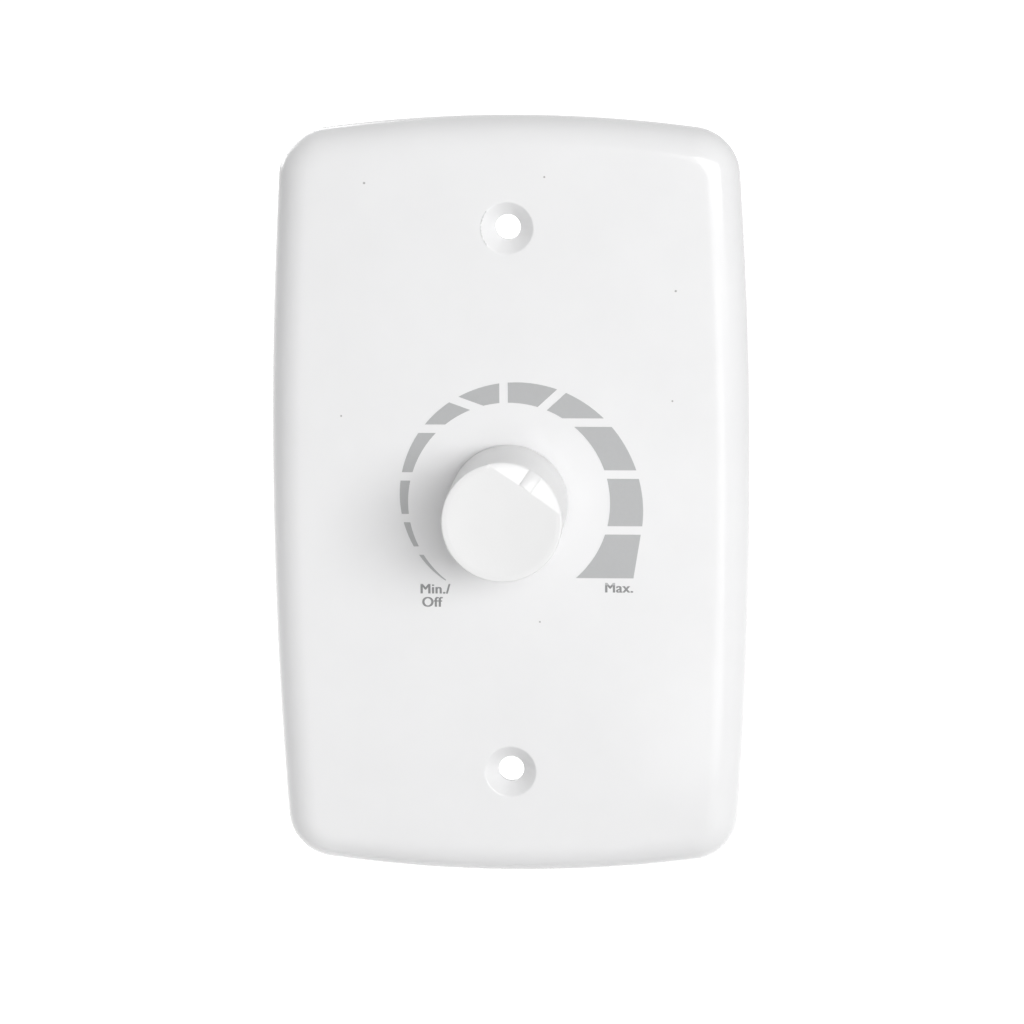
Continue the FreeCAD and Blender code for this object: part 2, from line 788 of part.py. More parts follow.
def trigger_diode():
    """Glass trigger diode on the board's front."""
    return axial_part(diode_d, diode_length, diode_span, board_y - diode_d / 2, stub_rear_y, diode_place)


def safety_fuse():
    """Axial fuse on the board's rear."""
    return axial_part(fuse_d, fuse_length, fuse_span, board_rear_y + fuse_d / 2, stub_front_y, fuse_place)


def box_capacitor(size, at, front):
    """Moulded box capacitor standing on the board's front or rear, with its two leads."""
    width, height, thickness = size
    y = (board_y - height, board_y) if front else (board_rear_y, board_rear_y + height)
    body = centred(width, y, thickness, at)
    body = body.makeChamfer(can_ease, body.Edges)
    lead_y = (board_y - can_ease * 2, stub_rear_y) if front else (stub_front_y, board_rear_y + can_ease * 2)
    leads = [centred(lead_d, lead_y, lead_d, place) for place in capacitor_leads(size, at)]
    return joined([body] + leads)


def capacitor_leads(size, at):
    """Places of a box capacitor's leads."""
    return [(at[0] + side * (size[0] / 2 - 4 * can_ease), at[1]) for side in (-1, 1)]


def timing_capacitor():
    """Film capacitor of the timing network, on the board's front."""
    return box_capacitor(timing_size, timing_place, True)


def filter_capacitor():
    """Mains filter capacitor, on the board's rear."""
    return box_capacitor(filter_size, filter_place, False)


def choke_core():
    """Ferrite ring."""
    low = choke_y + choke_wire
    return ring(choke_outer_d, choke_inner_d, (low, low + choke_core_height), choke_place)


def choke_winding():
    """Winding round most of the ring, with its two ends down through the board."""
    low = choke_y
    high = low + choke_core_height + 2 * choke_wire
    x, z = choke_place
    outer = ring(winding_d, choke_inner_d - 2 * choke_wire, (low, high), choke_place)
    gap = sector(4 * choke_outer_d, 0.1, (low, high), 0.0, choke_gap_deg / 2)
    gap.translate(Vector(x, 0, z))
    core = ring(choke_outer_d, choke_inner_d, (low + choke_wire, high - choke_wire), choke_place)
    lead_y = (stub_front_y, low + choke_wire / 2)
    leads = [centred(choke_wire, lead_y, choke_wire, at) for at in choke_leads()]
    return joined([outer.cut(gap).cut(core)] + leads)


def choke_leads():
    """Places of the choke's two wire ends."""
    x, z = choke_place
    angle = math.radians(choke_gap_deg / 2 + 12.0)
    radius = (choke_outer_d + choke_wire) / 2
    return [(x + side * radius * math.sin(angle), z + radius * math.cos(angle)) for side in (-1, 1)]


def triac_span():
    """Depths between which the triac lies."""
    low = board_rear_y + triac_lift
    return (low, low + triac_width)


def triac_body():
    """Moulded body of the triac, lying along the heat sink."""
    y = triac_span()
    z = (triac_z, triac_z + triac_body_length)
    x = (sink_x - triac_thickness, sink_x - triac_tab_thickness)
    body = block(x, y, z)
    face = [e for e in body.Edges if e.BoundBox.XMax < x[0] + 1e-6]
    return body.makeChamfer(can_ease, face)


def triac_leadframe():
    """Copper tab of the triac and its three legs, stepped down into the board."""
    y = triac_span()
    tab_x = (sink_x - triac_tab_thickness, sink_x)
    tab = block(tab_x, y, (triac_z, triac_z + triac_body_length + triac_tab_length))
    hole = along_x(machine_screw_d + 2 * fit_clearance, tab_x)
    legs = []
    middle = (y[0] + y[1]) / 2
    for i, leg_z in enumerate(triac_leg_places()):
        leg_y = middle + (i - 1) * triac_leg_pitch
        points = [
            (leg_y + triac_leg / 2, triac_z),
            (leg_y + triac_leg / 2, leg_z - triac_leg / 2),
            (stub_front_y, leg_z - triac_leg / 2),
            (stub_front_y, leg_z + triac_leg / 2),
            (leg_y - triac_leg / 2, leg_z + triac_leg / 2),
            (leg_y - triac_leg / 2, triac_z),
        ]
        legs.append(profile(points, (tab_x[0], tab_x[0] + triac_leg)))
    return joined([tab.cut(hole)] + legs)


def triac_leg_places():
    """Heights at which the triac's legs turn down into the board."""
    return [triac_z - triac_leg_pitch * (i + 1) + triac_leg for i in range(3)]


def triac_screw_place():
    """Depth and height of the screw through the triac's tab."""
    y = triac_span()
    return ((y[0] + y[1]) / 2, triac_z + triac_body_length + triac_tab_length / 2)


def along_x(diameter, x):
    """Cylinder along X on the triac screw's line."""
    y, z = triac_screw_place()
    return Part.makeCylinder(diameter / 2, x[1] - x[0], Vector(x[0], y, z), Vector(1, 0, 0))


def heat_sink():
    """Folded aluminium angle beside the triac, standing on the board by two pegs."""
    low = board_rear_y + sink_lift
    high = housing_inner_y - sink_rear_gap
    web_x = (sink_x, sink_x + sink_thickness)
    z = (sink_low_z, sink_high_z)
    web = block(web_x, (low, high), z)
    flange = block((web_x[0], web_x[1] + sink_flange), (high - sink_thickness, high), z)
    pegs = [block(web_x, (board_y, low), (peg, peg + sink_thickness)) for peg in sink_pegs()]
    body = joined([web, flange] + pegs)
    return body.cut(along_x(machine_screw_d + 2 * fit_clearance, web_x))


def sink_pegs():
    """Heights of the heat sink's pegs."""
    return (sink_low_z + 2 * sink_thickness, sink_high_z - 3 * sink_thickness)


def triac_screw():
    """Cheese-head machine screw through the triac's tab and the heat sink."""
    head_x = (sink_x - triac_tab_thickness - machine_head, sink_x - triac_tab_thickness)
    shank_x = (head_x[1], sink_x + sink_thickness + machine_nut + fit_clearance)
    return joined([along_x(machine_head_d, head_x), along_x(machine_screw_d, shank_x)])


def triac_nut():
    """Hexagon nut behind the heat sink."""
    y, z = triac_screw_place()
    low = sink_x + sink_thickness
    corner = machine_nut_across_flats / math.sqrt(3)
    angles = [math.radians(60 * i) for i in range(7)]
    points = [Vector(low, y + corner * math.cos(a), z + corner * math.sin(a)) for a in angles]
    nut = Part.Face(Part.makePolygon(points)).extrude(Vector(machine_nut, 0, 0))
    return nut.cut(along_x(machine_screw_d + 2 * thread_clearance, (low, low + machine_nut)))


# Depths in the terminal block, from the board outwards. Each cage stands open at rest.
cage_y = board_rear_y + block_floor + cage_clearance
wire_low_y = cage_y + cage_floor
strip_y = wire_low_y + wire_bore_d
cage_roof_y = strip_y + strip_thickness + cage_clearance
cage_top_y = cage_roof_y + cage_roof
bridge_y = cage_top_y + cage_travel + cage_clearance
clamp_head_y = bridge_y + clamp_bridge
block_lip_y = clamp_head_y + clamp_head + cage_clearance
block_rear_y = block_lip_y + clamp_bridge
pocket_low_z = block_low_z + block_front_wall
pocket_high_z = block_high_z - block_floor
cage_low_z = pocket_low_z + cage_clearance
cage_z = (cage_low_z, cage_low_z + cage_length)
clamp_z = cage_low_z + cage_length / 2
pole_places = {"left": -pole_pitch / 2, "right": pole_pitch / 2}


def terminal_block():
    """Two-pole block: wire bores in its lower face, cage pockets, and lips that keep the screws in."""
    y = (board_rear_y, block_rear_y)
    body = block((-block_width / 2, block_width / 2), y, (block_low_z, block_high_z))
    half = cage_width / 2 + cage_clearance
    wire_y = wire_low_y + wire_bore_d / 2
    head_pocket = clamp_head_d + 2 * cage_clearance
    tools = []
    for x in pole_places.values():
        tools.append(block((x - half, x + half), (board_rear_y + block_floor, bridge_y), (pocket_low_z, pocket_high_z)))
        tools.append(
            Part.makeCylinder(wire_bore_d / 2, block_front_wall, Vector(x, wire_y, block_low_z), Vector(0, 0, 1))
        )
        tools.append(disc(clamp_screw_d + 2 * cage_clearance, (bridge_y, clamp_head_y), (x, clamp_z)))
        tools.append(centred(head_pocket, (clamp_head_y, block_lip_y), head_pocket, (x, clamp_z)))
        tools.append(disc(clamp_access_d, (block_lip_y, block_rear_y), (x, clamp_z)))
        tools.append(strip_hole(x, (board_rear_y, board_rear_y + block_floor)))
    return drilled(body, tools)


def strip_hole(x, y):
    """Slot round a terminal strip's leg."""
    middle = pocket_high_z - cage_clearance - strip_thickness / 2
    side = 2 * lead_hole_clearance
    return centred(strip_leg + side, y, strip_thickness + side, (x, middle))


def terminal_cage(x):
    """Rising clamp cage: a square sleeve with a tapped roof, open at rest."""
    body = block((x - cage_width / 2, x + cage_width / 2), (cage_y, cage_top_y), cage_z)
    inner = cage_width / 2 - cage_side
    window = block((x - inner, x + inner), (wire_low_y, cage_roof_y), cage_z)
    tapped = disc(clamp_screw_d + 2 * thread_clearance, (cage_roof_y, cage_top_y), (x, clamp_z))
    return drilled(body, [window, tapped])


def terminal_screw(x):
    """Captive clamp screw with a slotted head."""
    at = (x, clamp_z)
    shank = disc(clamp_screw_d, (strip_y + strip_thickness + cage_clearance, clamp_head_y), at)
    head = disc(clamp_head_d, (clamp_head_y, clamp_head_y + clamp_head), at)
    slot_y = (clamp_head_y + clamp_head / 2, clamp_head_y + clamp_head)
    slot = centred(clamp_head_d, slot_y, clamp_slot, at)
    return joined([shank, head]).cut(slot)


def terminal_strips():
    """Two brass strips that the cages pull the wires against, each with a leg into the board."""
    rear_z = pocket_high_z - cage_clearance
    strips = []
    for x in pole_places.values():
        half = cage_width / 2 - cage_side - cage_clearance
        flat = block((x - half, x + half), (strip_y, strip_y + strip_thickness), (cage_z[0], rear_z))
        leg_y = (stub_front_y, strip_y)
        leg = block((x - strip_leg / 2, x + strip_leg / 2), leg_y, (rear_z - strip_thickness, rear_z))
        strips.append(joined([flat, leg]))
    return strips


def circuit_board():
    """Board with a hole for every lead, leg, pin and peg."""
    width = housing_inner_width - 2 * board_clearance
    height = housing_inner_height - 2 * board_clearance
    y = (board_y, board_rear_y)
    side = 2 * lead_hole_clearance
    lead_hole = lead_d + side
    tools = []
    spans = [(resistor_span, at) for at in resistor_places()]
    spans += [(diode_span, diode_place), (fuse_span, fuse_place)]
    for span, (x, z) in spans:
        tools += [centred(lead_hole, y, lead_hole, (x + i * span / 2, z)) for i in (-1, 1)]
    for size, at in ((timing_size, timing_place), (filter_size, filter_place)):
        tools += [centred(lead_hole, y, lead_hole, place) for place in capacitor_leads(size, at)]
    choke_hole = choke_wire + side
    tools += [centred(choke_hole, y, choke_hole, at) for at in choke_leads()]
    terminal_z = -track_tongue_reach + terminal_thickness / 2
    slots = [(i * terminal_pitch, terminal_z) for i in (-1, 0, 1)]
    slots += [(i * switch_pin_spacing / 2, switch_pin_height) for i in (-1, 1)]
    tools += [centred(terminal_width + side, y, terminal_thickness + side, at) for at in slots]
    leg_x = sink_x - triac_tab_thickness + triac_leg / 2
    tools += [centred(triac_leg + side, y, triac_leg + side, (leg_x, z)) for z in triac_leg_places()]
    peg_x = sink_x + sink_thickness / 2
    peg = sink_thickness + side
    tools += [centred(peg, y, peg, (peg_x, z + sink_thickness / 2)) for z in sink_pegs()]
    tools += [strip_hole(x, y) for x in pole_places.values()]
    return drilled(rounded(width, y, height, housing_corner - housing_wall), tools)


def rear_housing():
    """Moulded cup with four screw ears, corner posts for the board, vents and access holes."""
    outer = rounded(housing_width, (seat_y, housing_rear_y), housing_height, housing_corner)
    rear_rim = [e for e in outer.Edges if e.BoundBox.YMin > housing_rear_y - 1e-6]
    outer = outer.makeChamfer(housing_edge_ease, rear_rim)
    inner_y = (seat_y, housing_inner_y)
    inner = rounded(housing_inner_width, inner_y, housing_inner_height, housing_corner - housing_wall)
    ear_y = (boss_height_past_wall, boss_height_past_wall + ear_thickness)
    ears = []
    for x, z in quadrants(ear_x, ear_z):
        root_z = math.copysign(housing_height / 2 - housing_wall / 2, z)
        ears.append(disc(2 * ear_radius, ear_y, (x, z)))
        ears.append(centred(2 * ear_radius, ear_y, abs(z - root_z), (x, (z + root_z) / 2)))
    shell = joined([outer.cut(inner)] + [ear.cut(inner) for ear in ears])
    post_y = (board_rear_y, housing_inner_y + housing_wall / 2)
    post_x = housing_inner_width / 2 - housing_post / 2
    post_z = housing_inner_height / 2 - housing_post / 2
    post_size = housing_post + housing_wall
    shift = housing_wall / 2
    posts = []
    for x, z in quadrants(post_x + shift, post_z + shift):
        posts.append(centred(post_size, post_y, post_size, (x, z)).common(outer))
    body = joined([shell] + posts)

    tools = [disc(housing_screw_d + 2 * fit_clearance, ear_y, at) for at in quadrants(ear_x, ear_z)]
    window_half = block_width / 2 + fit_clearance
    window_y = (board_rear_y - fit_clearance, block_rear_y + fit_clearance)
    tools.append(block((-window_half, window_half), window_y, (-housing_height, pocket_low_z)))
    tools += [disc(clamp_access_d, (housing_inner_y, housing_rear_y), (x, clamp_z)) for x in pole_places.values()]
    vent_middle = (board_rear_y + housing_inner_y) / 2
    vent_y = (vent_middle - vent_length / 2, vent_middle + vent_length / 2)
    for i in range(vent_count):
        z = (i - (vent_count - 1) / 2) * vent_pitch
        tools.append(block((-housing_width, housing_width), vent_y, (z - vent_width / 2, z + vent_width / 2)))
    return drilled(body, tools)


def housing_screws():
    """Four thread-forming screws through the housing's ears into the plate's bosses."""
    seat = boss_height_past_wall + ear_thickness
    screws = []
    for at in quadrants(ear_x, ear_z):
        shank = disc(housing_screw_d - 2 * thread_clearance, (seat - housing_screw_length + fit_clearance, seat), at)
        head = disc(housing_screw_head_d, (seat, seat + housing_screw_head), at)
        screws.append(joined([shank, head]))
    return screws


def as_solids(shape):
    """The separate solids of a shape or of a list of shapes, as one shape to write."""
    pieces = shape if isinstance(shape, list) else [shape]
    solids = [solid for piece in pieces for solid in piece.Solids]
    return solids[0] if len(solids) == 1 else Part.makeCompound(solids)


nodes = {
    "face_plate": face_plate,
    "speed_scale_print": speed_scale_print,
    "knob": knob,
    "knob_spring_clip": knob_spring_clip,
    "mounting_nut": mounting_nut,
    "lock_washer": lock_washer,
    "pot_bushing": pot_bushing,
    "pot_shaft": pot_shaft,
    "shaft_ring": shaft_ring,
    "pot_rotor": pot_rotor,
    "pot_wiper": pot_wiper,
    "pot_track": pot_track,
    "pot_terminals": pot_terminals,
    "pot_cover": pot_cover,
    "pot_switch": pot_switch,
    "switch_terminals": switch_terminals,
    "circuit_board": circuit_board,
    "triac_body": triac_body,
    "triac_leadframe": triac_leadframe,
    "heat_sink": heat_sink,
    "triac_screw": triac_screw,
    "triac_nut": triac_nut,
    "timing_capacitor": timing_capacitor,
    "filter_capacitor": filter_capacitor,
    "choke_core": choke_core,
    "choke_winding": choke_winding,
    "resistors": resistors,
    "trigger_diode": trigger_diode,
    "safety_fuse": safety_fuse,
    "terminal_block": terminal_block,
    "terminal_strips": terminal_strips,
    "rear_housing": rear_housing,
    "housing_screws": housing_screws,
}

os.makedirs("parts", exist_ok=True)
for name, make in nodes.items():
    as_solids(make()).exportStep(f"parts/{name}.step")
for side, place in pole_places.items():
    as_solids(terminal_cage(place)).exportStep(f"parts/terminal_cage_{side}.step")
    as_solids(terminal_screw(place)).exportStep(f"parts/terminal_screw_{side}.step")
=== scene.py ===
"""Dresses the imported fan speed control: smooth skins, moulded details, finishes, soft studio light and a camera."""

import json
import logging
import math
from contextlib import contextmanager
from dataclasses import dataclass
from enum import Enum
from typing import Callable, Iterable, Iterator, Optional, Sequence, Union

import bmesh
import bpy
from mathutils import Matrix, Vector
from mathutils.geometry import tessellate_polygon

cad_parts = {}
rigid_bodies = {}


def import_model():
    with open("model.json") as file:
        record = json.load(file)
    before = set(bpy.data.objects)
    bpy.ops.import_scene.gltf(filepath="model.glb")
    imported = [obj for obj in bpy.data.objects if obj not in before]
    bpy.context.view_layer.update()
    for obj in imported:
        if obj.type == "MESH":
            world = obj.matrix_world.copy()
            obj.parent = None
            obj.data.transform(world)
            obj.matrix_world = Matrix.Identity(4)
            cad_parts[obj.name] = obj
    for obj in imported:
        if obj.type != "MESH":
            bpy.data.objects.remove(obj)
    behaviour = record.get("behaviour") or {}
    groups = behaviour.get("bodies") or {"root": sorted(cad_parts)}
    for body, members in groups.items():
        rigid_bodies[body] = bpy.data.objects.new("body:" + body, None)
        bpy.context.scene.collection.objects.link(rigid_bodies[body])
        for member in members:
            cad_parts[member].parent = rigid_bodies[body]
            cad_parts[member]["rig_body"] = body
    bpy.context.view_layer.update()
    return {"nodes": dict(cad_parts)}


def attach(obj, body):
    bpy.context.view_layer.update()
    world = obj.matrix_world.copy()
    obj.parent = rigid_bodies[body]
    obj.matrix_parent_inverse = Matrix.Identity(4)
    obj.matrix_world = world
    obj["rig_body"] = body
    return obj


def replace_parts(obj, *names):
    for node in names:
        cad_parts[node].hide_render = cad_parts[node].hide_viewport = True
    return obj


LOG = logging.getLogger("fan_control")
MM = 0.001
WELD = 0.002 * MM
TURN, QUARTER = 2 * math.pi, math.pi / 2
WHITE, BLACK = (1.0, 1.0, 1.0), (0.0, 0.0, 0.0)
CAP_SHARE = 0.69  # height of the built-in font's capitals as a share of its size
Flat = tuple[float, float]
Point = tuple[float, float, float]
Colour = tuple[float, float, float]
Key = Union[str, int]


class Body(str, Enum):
    """CAD bodies that pieces ride on."""

    WALL = "wall_unit"
    KNOB = "knob"
    SCREW_LEFT = "clamp_screw_left"
    SCREW_RIGHT = "clamp_screw_right"
    CAGE_LEFT = "clamp_cage_left"
    CAGE_RIGHT = "clamp_cage_right"


# Nodes


def _math(operation: str, swapped: bool = False) -> Callable[..., "Signal"]:
    """Makes a method of Signal that adds one Math node.

    Args:
        operation: The node's operation.
        swapped: Whether the method's own value comes second.

    Returns:
        The method.
    """

    def method(self: "Signal", other: "Operand" = 0.0) -> "Signal":
        """The node's result for this value and another."""
        first, second = (other, self) if swapped else (self, other)
        return self.bench.node("ShaderNodeMath", {0: first, 1: second}, operation=operation)

    return method


@dataclass(frozen=True)
class Signal:
    """An output socket of a node; arithmetic on it adds Math nodes."""

    bench: "Bench"
    socket: bpy.types.NodeSocket

    __add__, __radd__ = _math("ADD"), _math("ADD", True)
    __sub__, __rsub__ = _math("SUBTRACT"), _math("SUBTRACT", True)
    __mul__, __gt__, __lt__ = _math("MULTIPLY"), _math("GREATER_THAN"), _math("LESS_THAN")
    __abs__, sine, cosine = _math("ABSOLUTE"), _math("SINE"), _math("COSINE")
    sign, power, maximum = _math("SIGN"), _math("POWER"), _math("MAXIMUM")

    def of(self, key: Key) -> "Signal":
        """Another output of the same node."""
        return Signal(self.bench, self.socket.node.outputs[key])

    def ramp(self, low: float, high: float, start: float = 0.0, end: float = 1.0) -> "Signal":
        """Smooth rise of this value between two limits.

        Args:
            low: Value at which the rise starts.
            high: Value at which it ends.
            start: Result at and below low.
            end: Result at and above high.

        Returns:
            The eased value.
        """
        limits = {"Value": self, "From Min": low, "From Max": high, "To Min": start, "To Max": end}
        return self.bench.node("ShaderNodeMapRange", limits, interpolation_type="SMOOTHSTEP")


Operand = Union[Signal, float]
Value = Union[Signal, bpy.types.Material, float, Sequence[float]]


class Bench:
    """Adds nodes to a tree, whether a shader's or a geometry's."""

    def __init__(self, tree: bpy.types.NodeTree) -> None:
        """Keeps the tree."""
        self.tree = tree

    def node(self, kind: str, values: Optional[dict[Key, Value]] = None, out: Key = 0, **settings: object) -> Signal:
        """Adds a node.

        Args:
            kind: The node's type.
            values: Numbers, colours or links for its input sockets.
            out: The output wanted.
            **settings: Properties to set first, such as an operation.

        Returns:
            That output.
        """
        item = self.tree.nodes.new(kind)
        for key, value in settings.items():
            setattr(item, key, value)
        for key, value in (values or {}).items():
            self.put(item.inputs[key], value)
        return Signal(self, item.outputs[out])

    def put(self, socket: bpy.types.NodeSocket, value: Value) -> None:
        """Sets a socket's value or links it.

        Args:
            socket: The input socket.
            value: A number, colour, vector or material, or the output to link.
        """
        if isinstance(value, Signal):
            self.tree.links.new(value.socket, socket)
        elif socket.type == "RGBA":
            socket.default_value = (*value, 1.0)
        else:
            socket.default_value = value

    def axes(self, vector: Signal) -> tuple[Signal, Signal, Signal]:
        """The three parts of a vector."""
        x = self.node("ShaderNodeSeparateXYZ", {"Vector": vector})
        return x, x.of("Y"), x.of("Z")

    def vector(self, x: Operand, y: Operand, z: Operand) -> Signal:
        """A vector of three parts."""
        return self.node("ShaderNodeCombineXYZ", {0: x, 1: y, 2: z})


class ShaderBench(Bench):
    """Builds one material's nodes."""

    def __init__(self, name: str) -> None:
        """Starts a material with a Principled shader.

        Args:
            name: The material's name.
        """
        self.material = bpy.data.materials.new(name)
        self.material.use_nodes = True
        super().__init__(self.material.node_tree)
        self.shader = self.tree.nodes["Principled BSDF"]

    def place(self) -> Signal:
        """Object coordinates in metres."""
        return self.node("ShaderNodeTexCoord", out="Object")

    def noise(self, vector: Signal, size: float, detail: float = 3.0, roughness: float = 0.5) -> Signal:
        """Soft noise whose cells are about size millimetres, from 0 to 1."""
        values = {"Vector": vector, "Scale": 1.0 / (size * MM), "Detail": detail, "Roughness": roughness}
        return self.node("ShaderNodeTexNoise", values)

    def from_mark(self, where: Signal, x: float, z: float) -> Signal:
        """Distance from a point of the plate's face."""
        mark = (x * MM, FacePlate.front_y * MM, z * MM)
        return self.node("ShaderNodeVectorMath", {0: where, 1: mark}, "Value", operation="DISTANCE")

    def mix(self, factor: Operand, first: Value, second: Value) -> Signal:
        """Mixes two colours."""
        return self.node("ShaderNodeMix", {0: factor, 6: first, 7: second}, 2, data_type="RGBA")

    def bump(self, height: Signal, depth: float) -> None:
        """Sends a height to the shader's normal; depth in millimetres is the height of 1."""
        bump = self.node("ShaderNodeBump", {"Height": height, "Distance": depth * MM, "Strength": 1.0})
        self.put(self.shader.inputs["Normal"], bump)

    def set(self, **values: Value) -> None:
        """Sets the shader's inputs, named with underscores for spaces."""
        for key, value in values.items():
            self.put(self.shader.inputs[key.replace("_", " ")], value)


class GeometryBench(Bench):
    """Builds one geometry tree, runs it on a set of places and makes a plain piece of the result."""

    def __init__(self, name: str, inputs: dict[str, float]) -> None:
        """Starts a tree.

        Args:
            name: The tree's name.
            inputs: Its named inputs, lengths in metres or counts, with their values.
        """
        super().__init__(bpy.data.node_groups.new(name, "GeometryNodeTree"))
        self.inputs = inputs
        face = self.tree.interface
        face.new_socket("Geometry", in_out="OUTPUT", socket_type="NodeSocketGeometry")
        face.new_socket("Places", in_out="INPUT", socket_type="NodeSocketGeometry")
        kinds = {int: "NodeSocketInt", float: "NodeSocketFloat"}
        self.sockets = {
            key: face.new_socket(key, in_out="INPUT", socket_type=kinds[type(value)]).identifier
            for key, value in inputs.items()
        }
        self.start = self.tree.nodes.new("NodeGroupInput")
        self.end = self.tree.nodes.new("NodeGroupOutput")

    def given(self, key: str) -> Signal:
        """A named input."""
        return Signal(self, self.start.outputs[key])

    def circle(self, radius: Operand, sides: int) -> Signal:
        """A circle as a curve."""
        return self.node("GeometryNodeCurvePrimitiveCircle", {"Resolution": sides, "Radius": radius})

    def sweep(self, path: Signal, profile: Signal, capped: bool = False) -> Signal:
        """A profile swept along a curve."""
        values = {"Curve": path, "Profile Curve": profile, "Fill Caps": capped}
        return self.node("GeometryNodeCurveToMesh", values)

    def tube(self, path: Signal, radius: Operand, sides: int = 8) -> Signal:
        """Round bar along a curve, with closed ends."""
        return self.sweep(path, self.circle(radius, sides), True)

    def join(self, parts: Sequence[Signal]) -> Signal:
        """Puts several meshes into one.

        Args:
            parts: The meshes.

        Returns:
            The one mesh.
        """
        joint = self.node("GeometryNodeJoinGeometry")
        for part in parts:
            self.tree.links.new(part.socket, joint.socket.node.inputs[0])
        return joint

    def on_places(self, shape: Signal, tilt: float = 0.0) -> Signal:
        """The shape at every given place, turned about X."""
        values = {"Points": self.given("Places"), "Instance": shape, "Rotation": (tilt, 0.0, 0.0)}
        return self.node("GeometryNodeInstanceOnPoints", values)

    def piece(self, name: str, shape: Signal, places: Sequence[Point], body: Body, slot: str) -> bpy.types.Object:
        """Ends the tree, evaluates it and makes the piece.

        Args:
            name: The piece's name.
            shape: The finished geometry.
            places: Points in millimetres that the tree is given.
            body: The body it rides on.
            slot: The record's material slot.

        Returns:
            The piece, with a plain mesh.
        """
        real = self.node("GeometryNodeRealizeInstances", {"Geometry": shape})
        last = self.node("GeometryNodeSetMaterial", {"Geometry": real, "Material": Finishes.get(slot)})
        self.tree.links.new(last.socket, self.end.inputs[0])
        holder = placed(self.tree.name, bpy.data.meshes.new(self.tree.name))
        holder.data.from_pydata([Vector(place) * MM for place in places], [], [])
        modifier = holder.modifiers.new("grow", "NODES")
        modifier.node_group = self.tree
        for key, identifier in self.sockets.items():
            modifier[identifier] = self.inputs[key]
        mesh = baked(holder)
        with edited(mesh) as bm:
            bmesh.ops.recalc_face_normals(bm, faces=bm.faces)
        return finished(mesh, name, body, slot, 70.0)


# Finishes


def shade(colour: Colour, gain: float) -> Colour:
    """A colour made lighter or darker."""
    return tuple(min(1.0, part * gain) for part in colour)


@dataclass(frozen=True)
class Speck:
    """A small dark mark in the plate's face."""

    x: float
    z: float
    size: float

    def lay_stain_or_shade(self, bench: ShaderBench, where: Signal, fine: Signal, base: Signal) -> Signal:
        """Lays the mark over a colour.

        Args:
            bench: The material's bench.
            where: Object coordinates.
            fine: The plastic's grain.
            base: The colour below.

        Returns:
            The colour with the mark on it.
        """
        size = self.size * MM
        ragged = bench.from_mark(where, self.x, self.z) + fine * (size * 0.6)
        return bench.mix(ragged.ramp(size * 0.6, size * 1.1, 0.62, 0.0), base, (0.16, 0.15, 0.14))


@dataclass(frozen=True)
class LipShade:
    """A thin dark arc of painted shade on the left rim of a round hole, the shadow of a small raised lip."""

    x: float
    z: float
    radius: float
    reach: float

    def lay_stain_or_shade(self, bench: ShaderBench, where: Signal, _: Signal, base: Signal) -> Signal:
        """Lays the arc of painted shade over a colour.

        Args:
            bench: The material's bench.
            where: Object coordinates.
            base: The colour below.

        Returns:
            The colour with the painted shade on it.
        """
        ragged = bench.noise(where, 0.8)
        off = abs(bench.from_mark(where, self.x, self.z) - self.radius * MM + (ragged - 0.5) * (0.25 * MM))
        side = bench.axes(where)[0] < (self.x - self.radius + self.reach) * MM
        mask = off.ramp(0.04 * MM, 0.16 * MM, 1.0, 0.0) * side * ragged.ramp(0.3, 0.6)
        # painted shade: a grey arc along the hole's left rim, where the lip's shadow falls
        return bench.mix(mask * 0.6, base, (0.3, 0.3, 0.3))


@dataclass(frozen=True)
class Leads:
    """Where a component's coat ends and its tinned leads begin."""

    beyond_y: float
    rearward: bool
    centre_x: float = 0.0
    half_x: float = 99.0
    tin: Colour = (0.74, 0.73, 0.7)

    def bare(self, bench: ShaderBench, where: Signal, base: Signal, roughness: Signal) -> None:
        """Sets the coat's colour and roughness, and metal on the leads.

        Args:
            bench: The material's bench.
            where: Object coordinates.
            base: The coat's colour.
            roughness: The coat's roughness.
        """
        x, y, _ = bench.axes(where)
        past = y > self.beyond_y * MM if self.rearward else y < self.beyond_y * MM
        mask = past.maximum(abs(x - self.centre_x * MM) > self.half_x * MM)
        bench.set(Base_Color=bench.mix(mask, base, self.tin), Metallic=mask, Roughness=roughness * (1.0 - mask * 0.4))


@dataclass(frozen=True)
class Finish:
    """A procedural finish in Object coordinates."""

    colour: Colour

    def make(self, name: str) -> bpy.types.Material:
        """Builds the material.

        Args:
            name: Its name.

        Returns:
            The material.
        """
        bench = ShaderBench(name)
        self.paint(bench, bench.place())
        return bench.material

    def paint(self, bench: ShaderBench, where: Signal) -> None:
        """Adds the finish's own nodes."""
        raise NotImplementedError

    def clouded(self, bench: ShaderBench, factor: Signal, low: float, high: float) -> Signal:
        """The colour between a darker and a lighter one."""
        return bench.mix(factor, shade(self.colour, low), shade(self.colour, high))


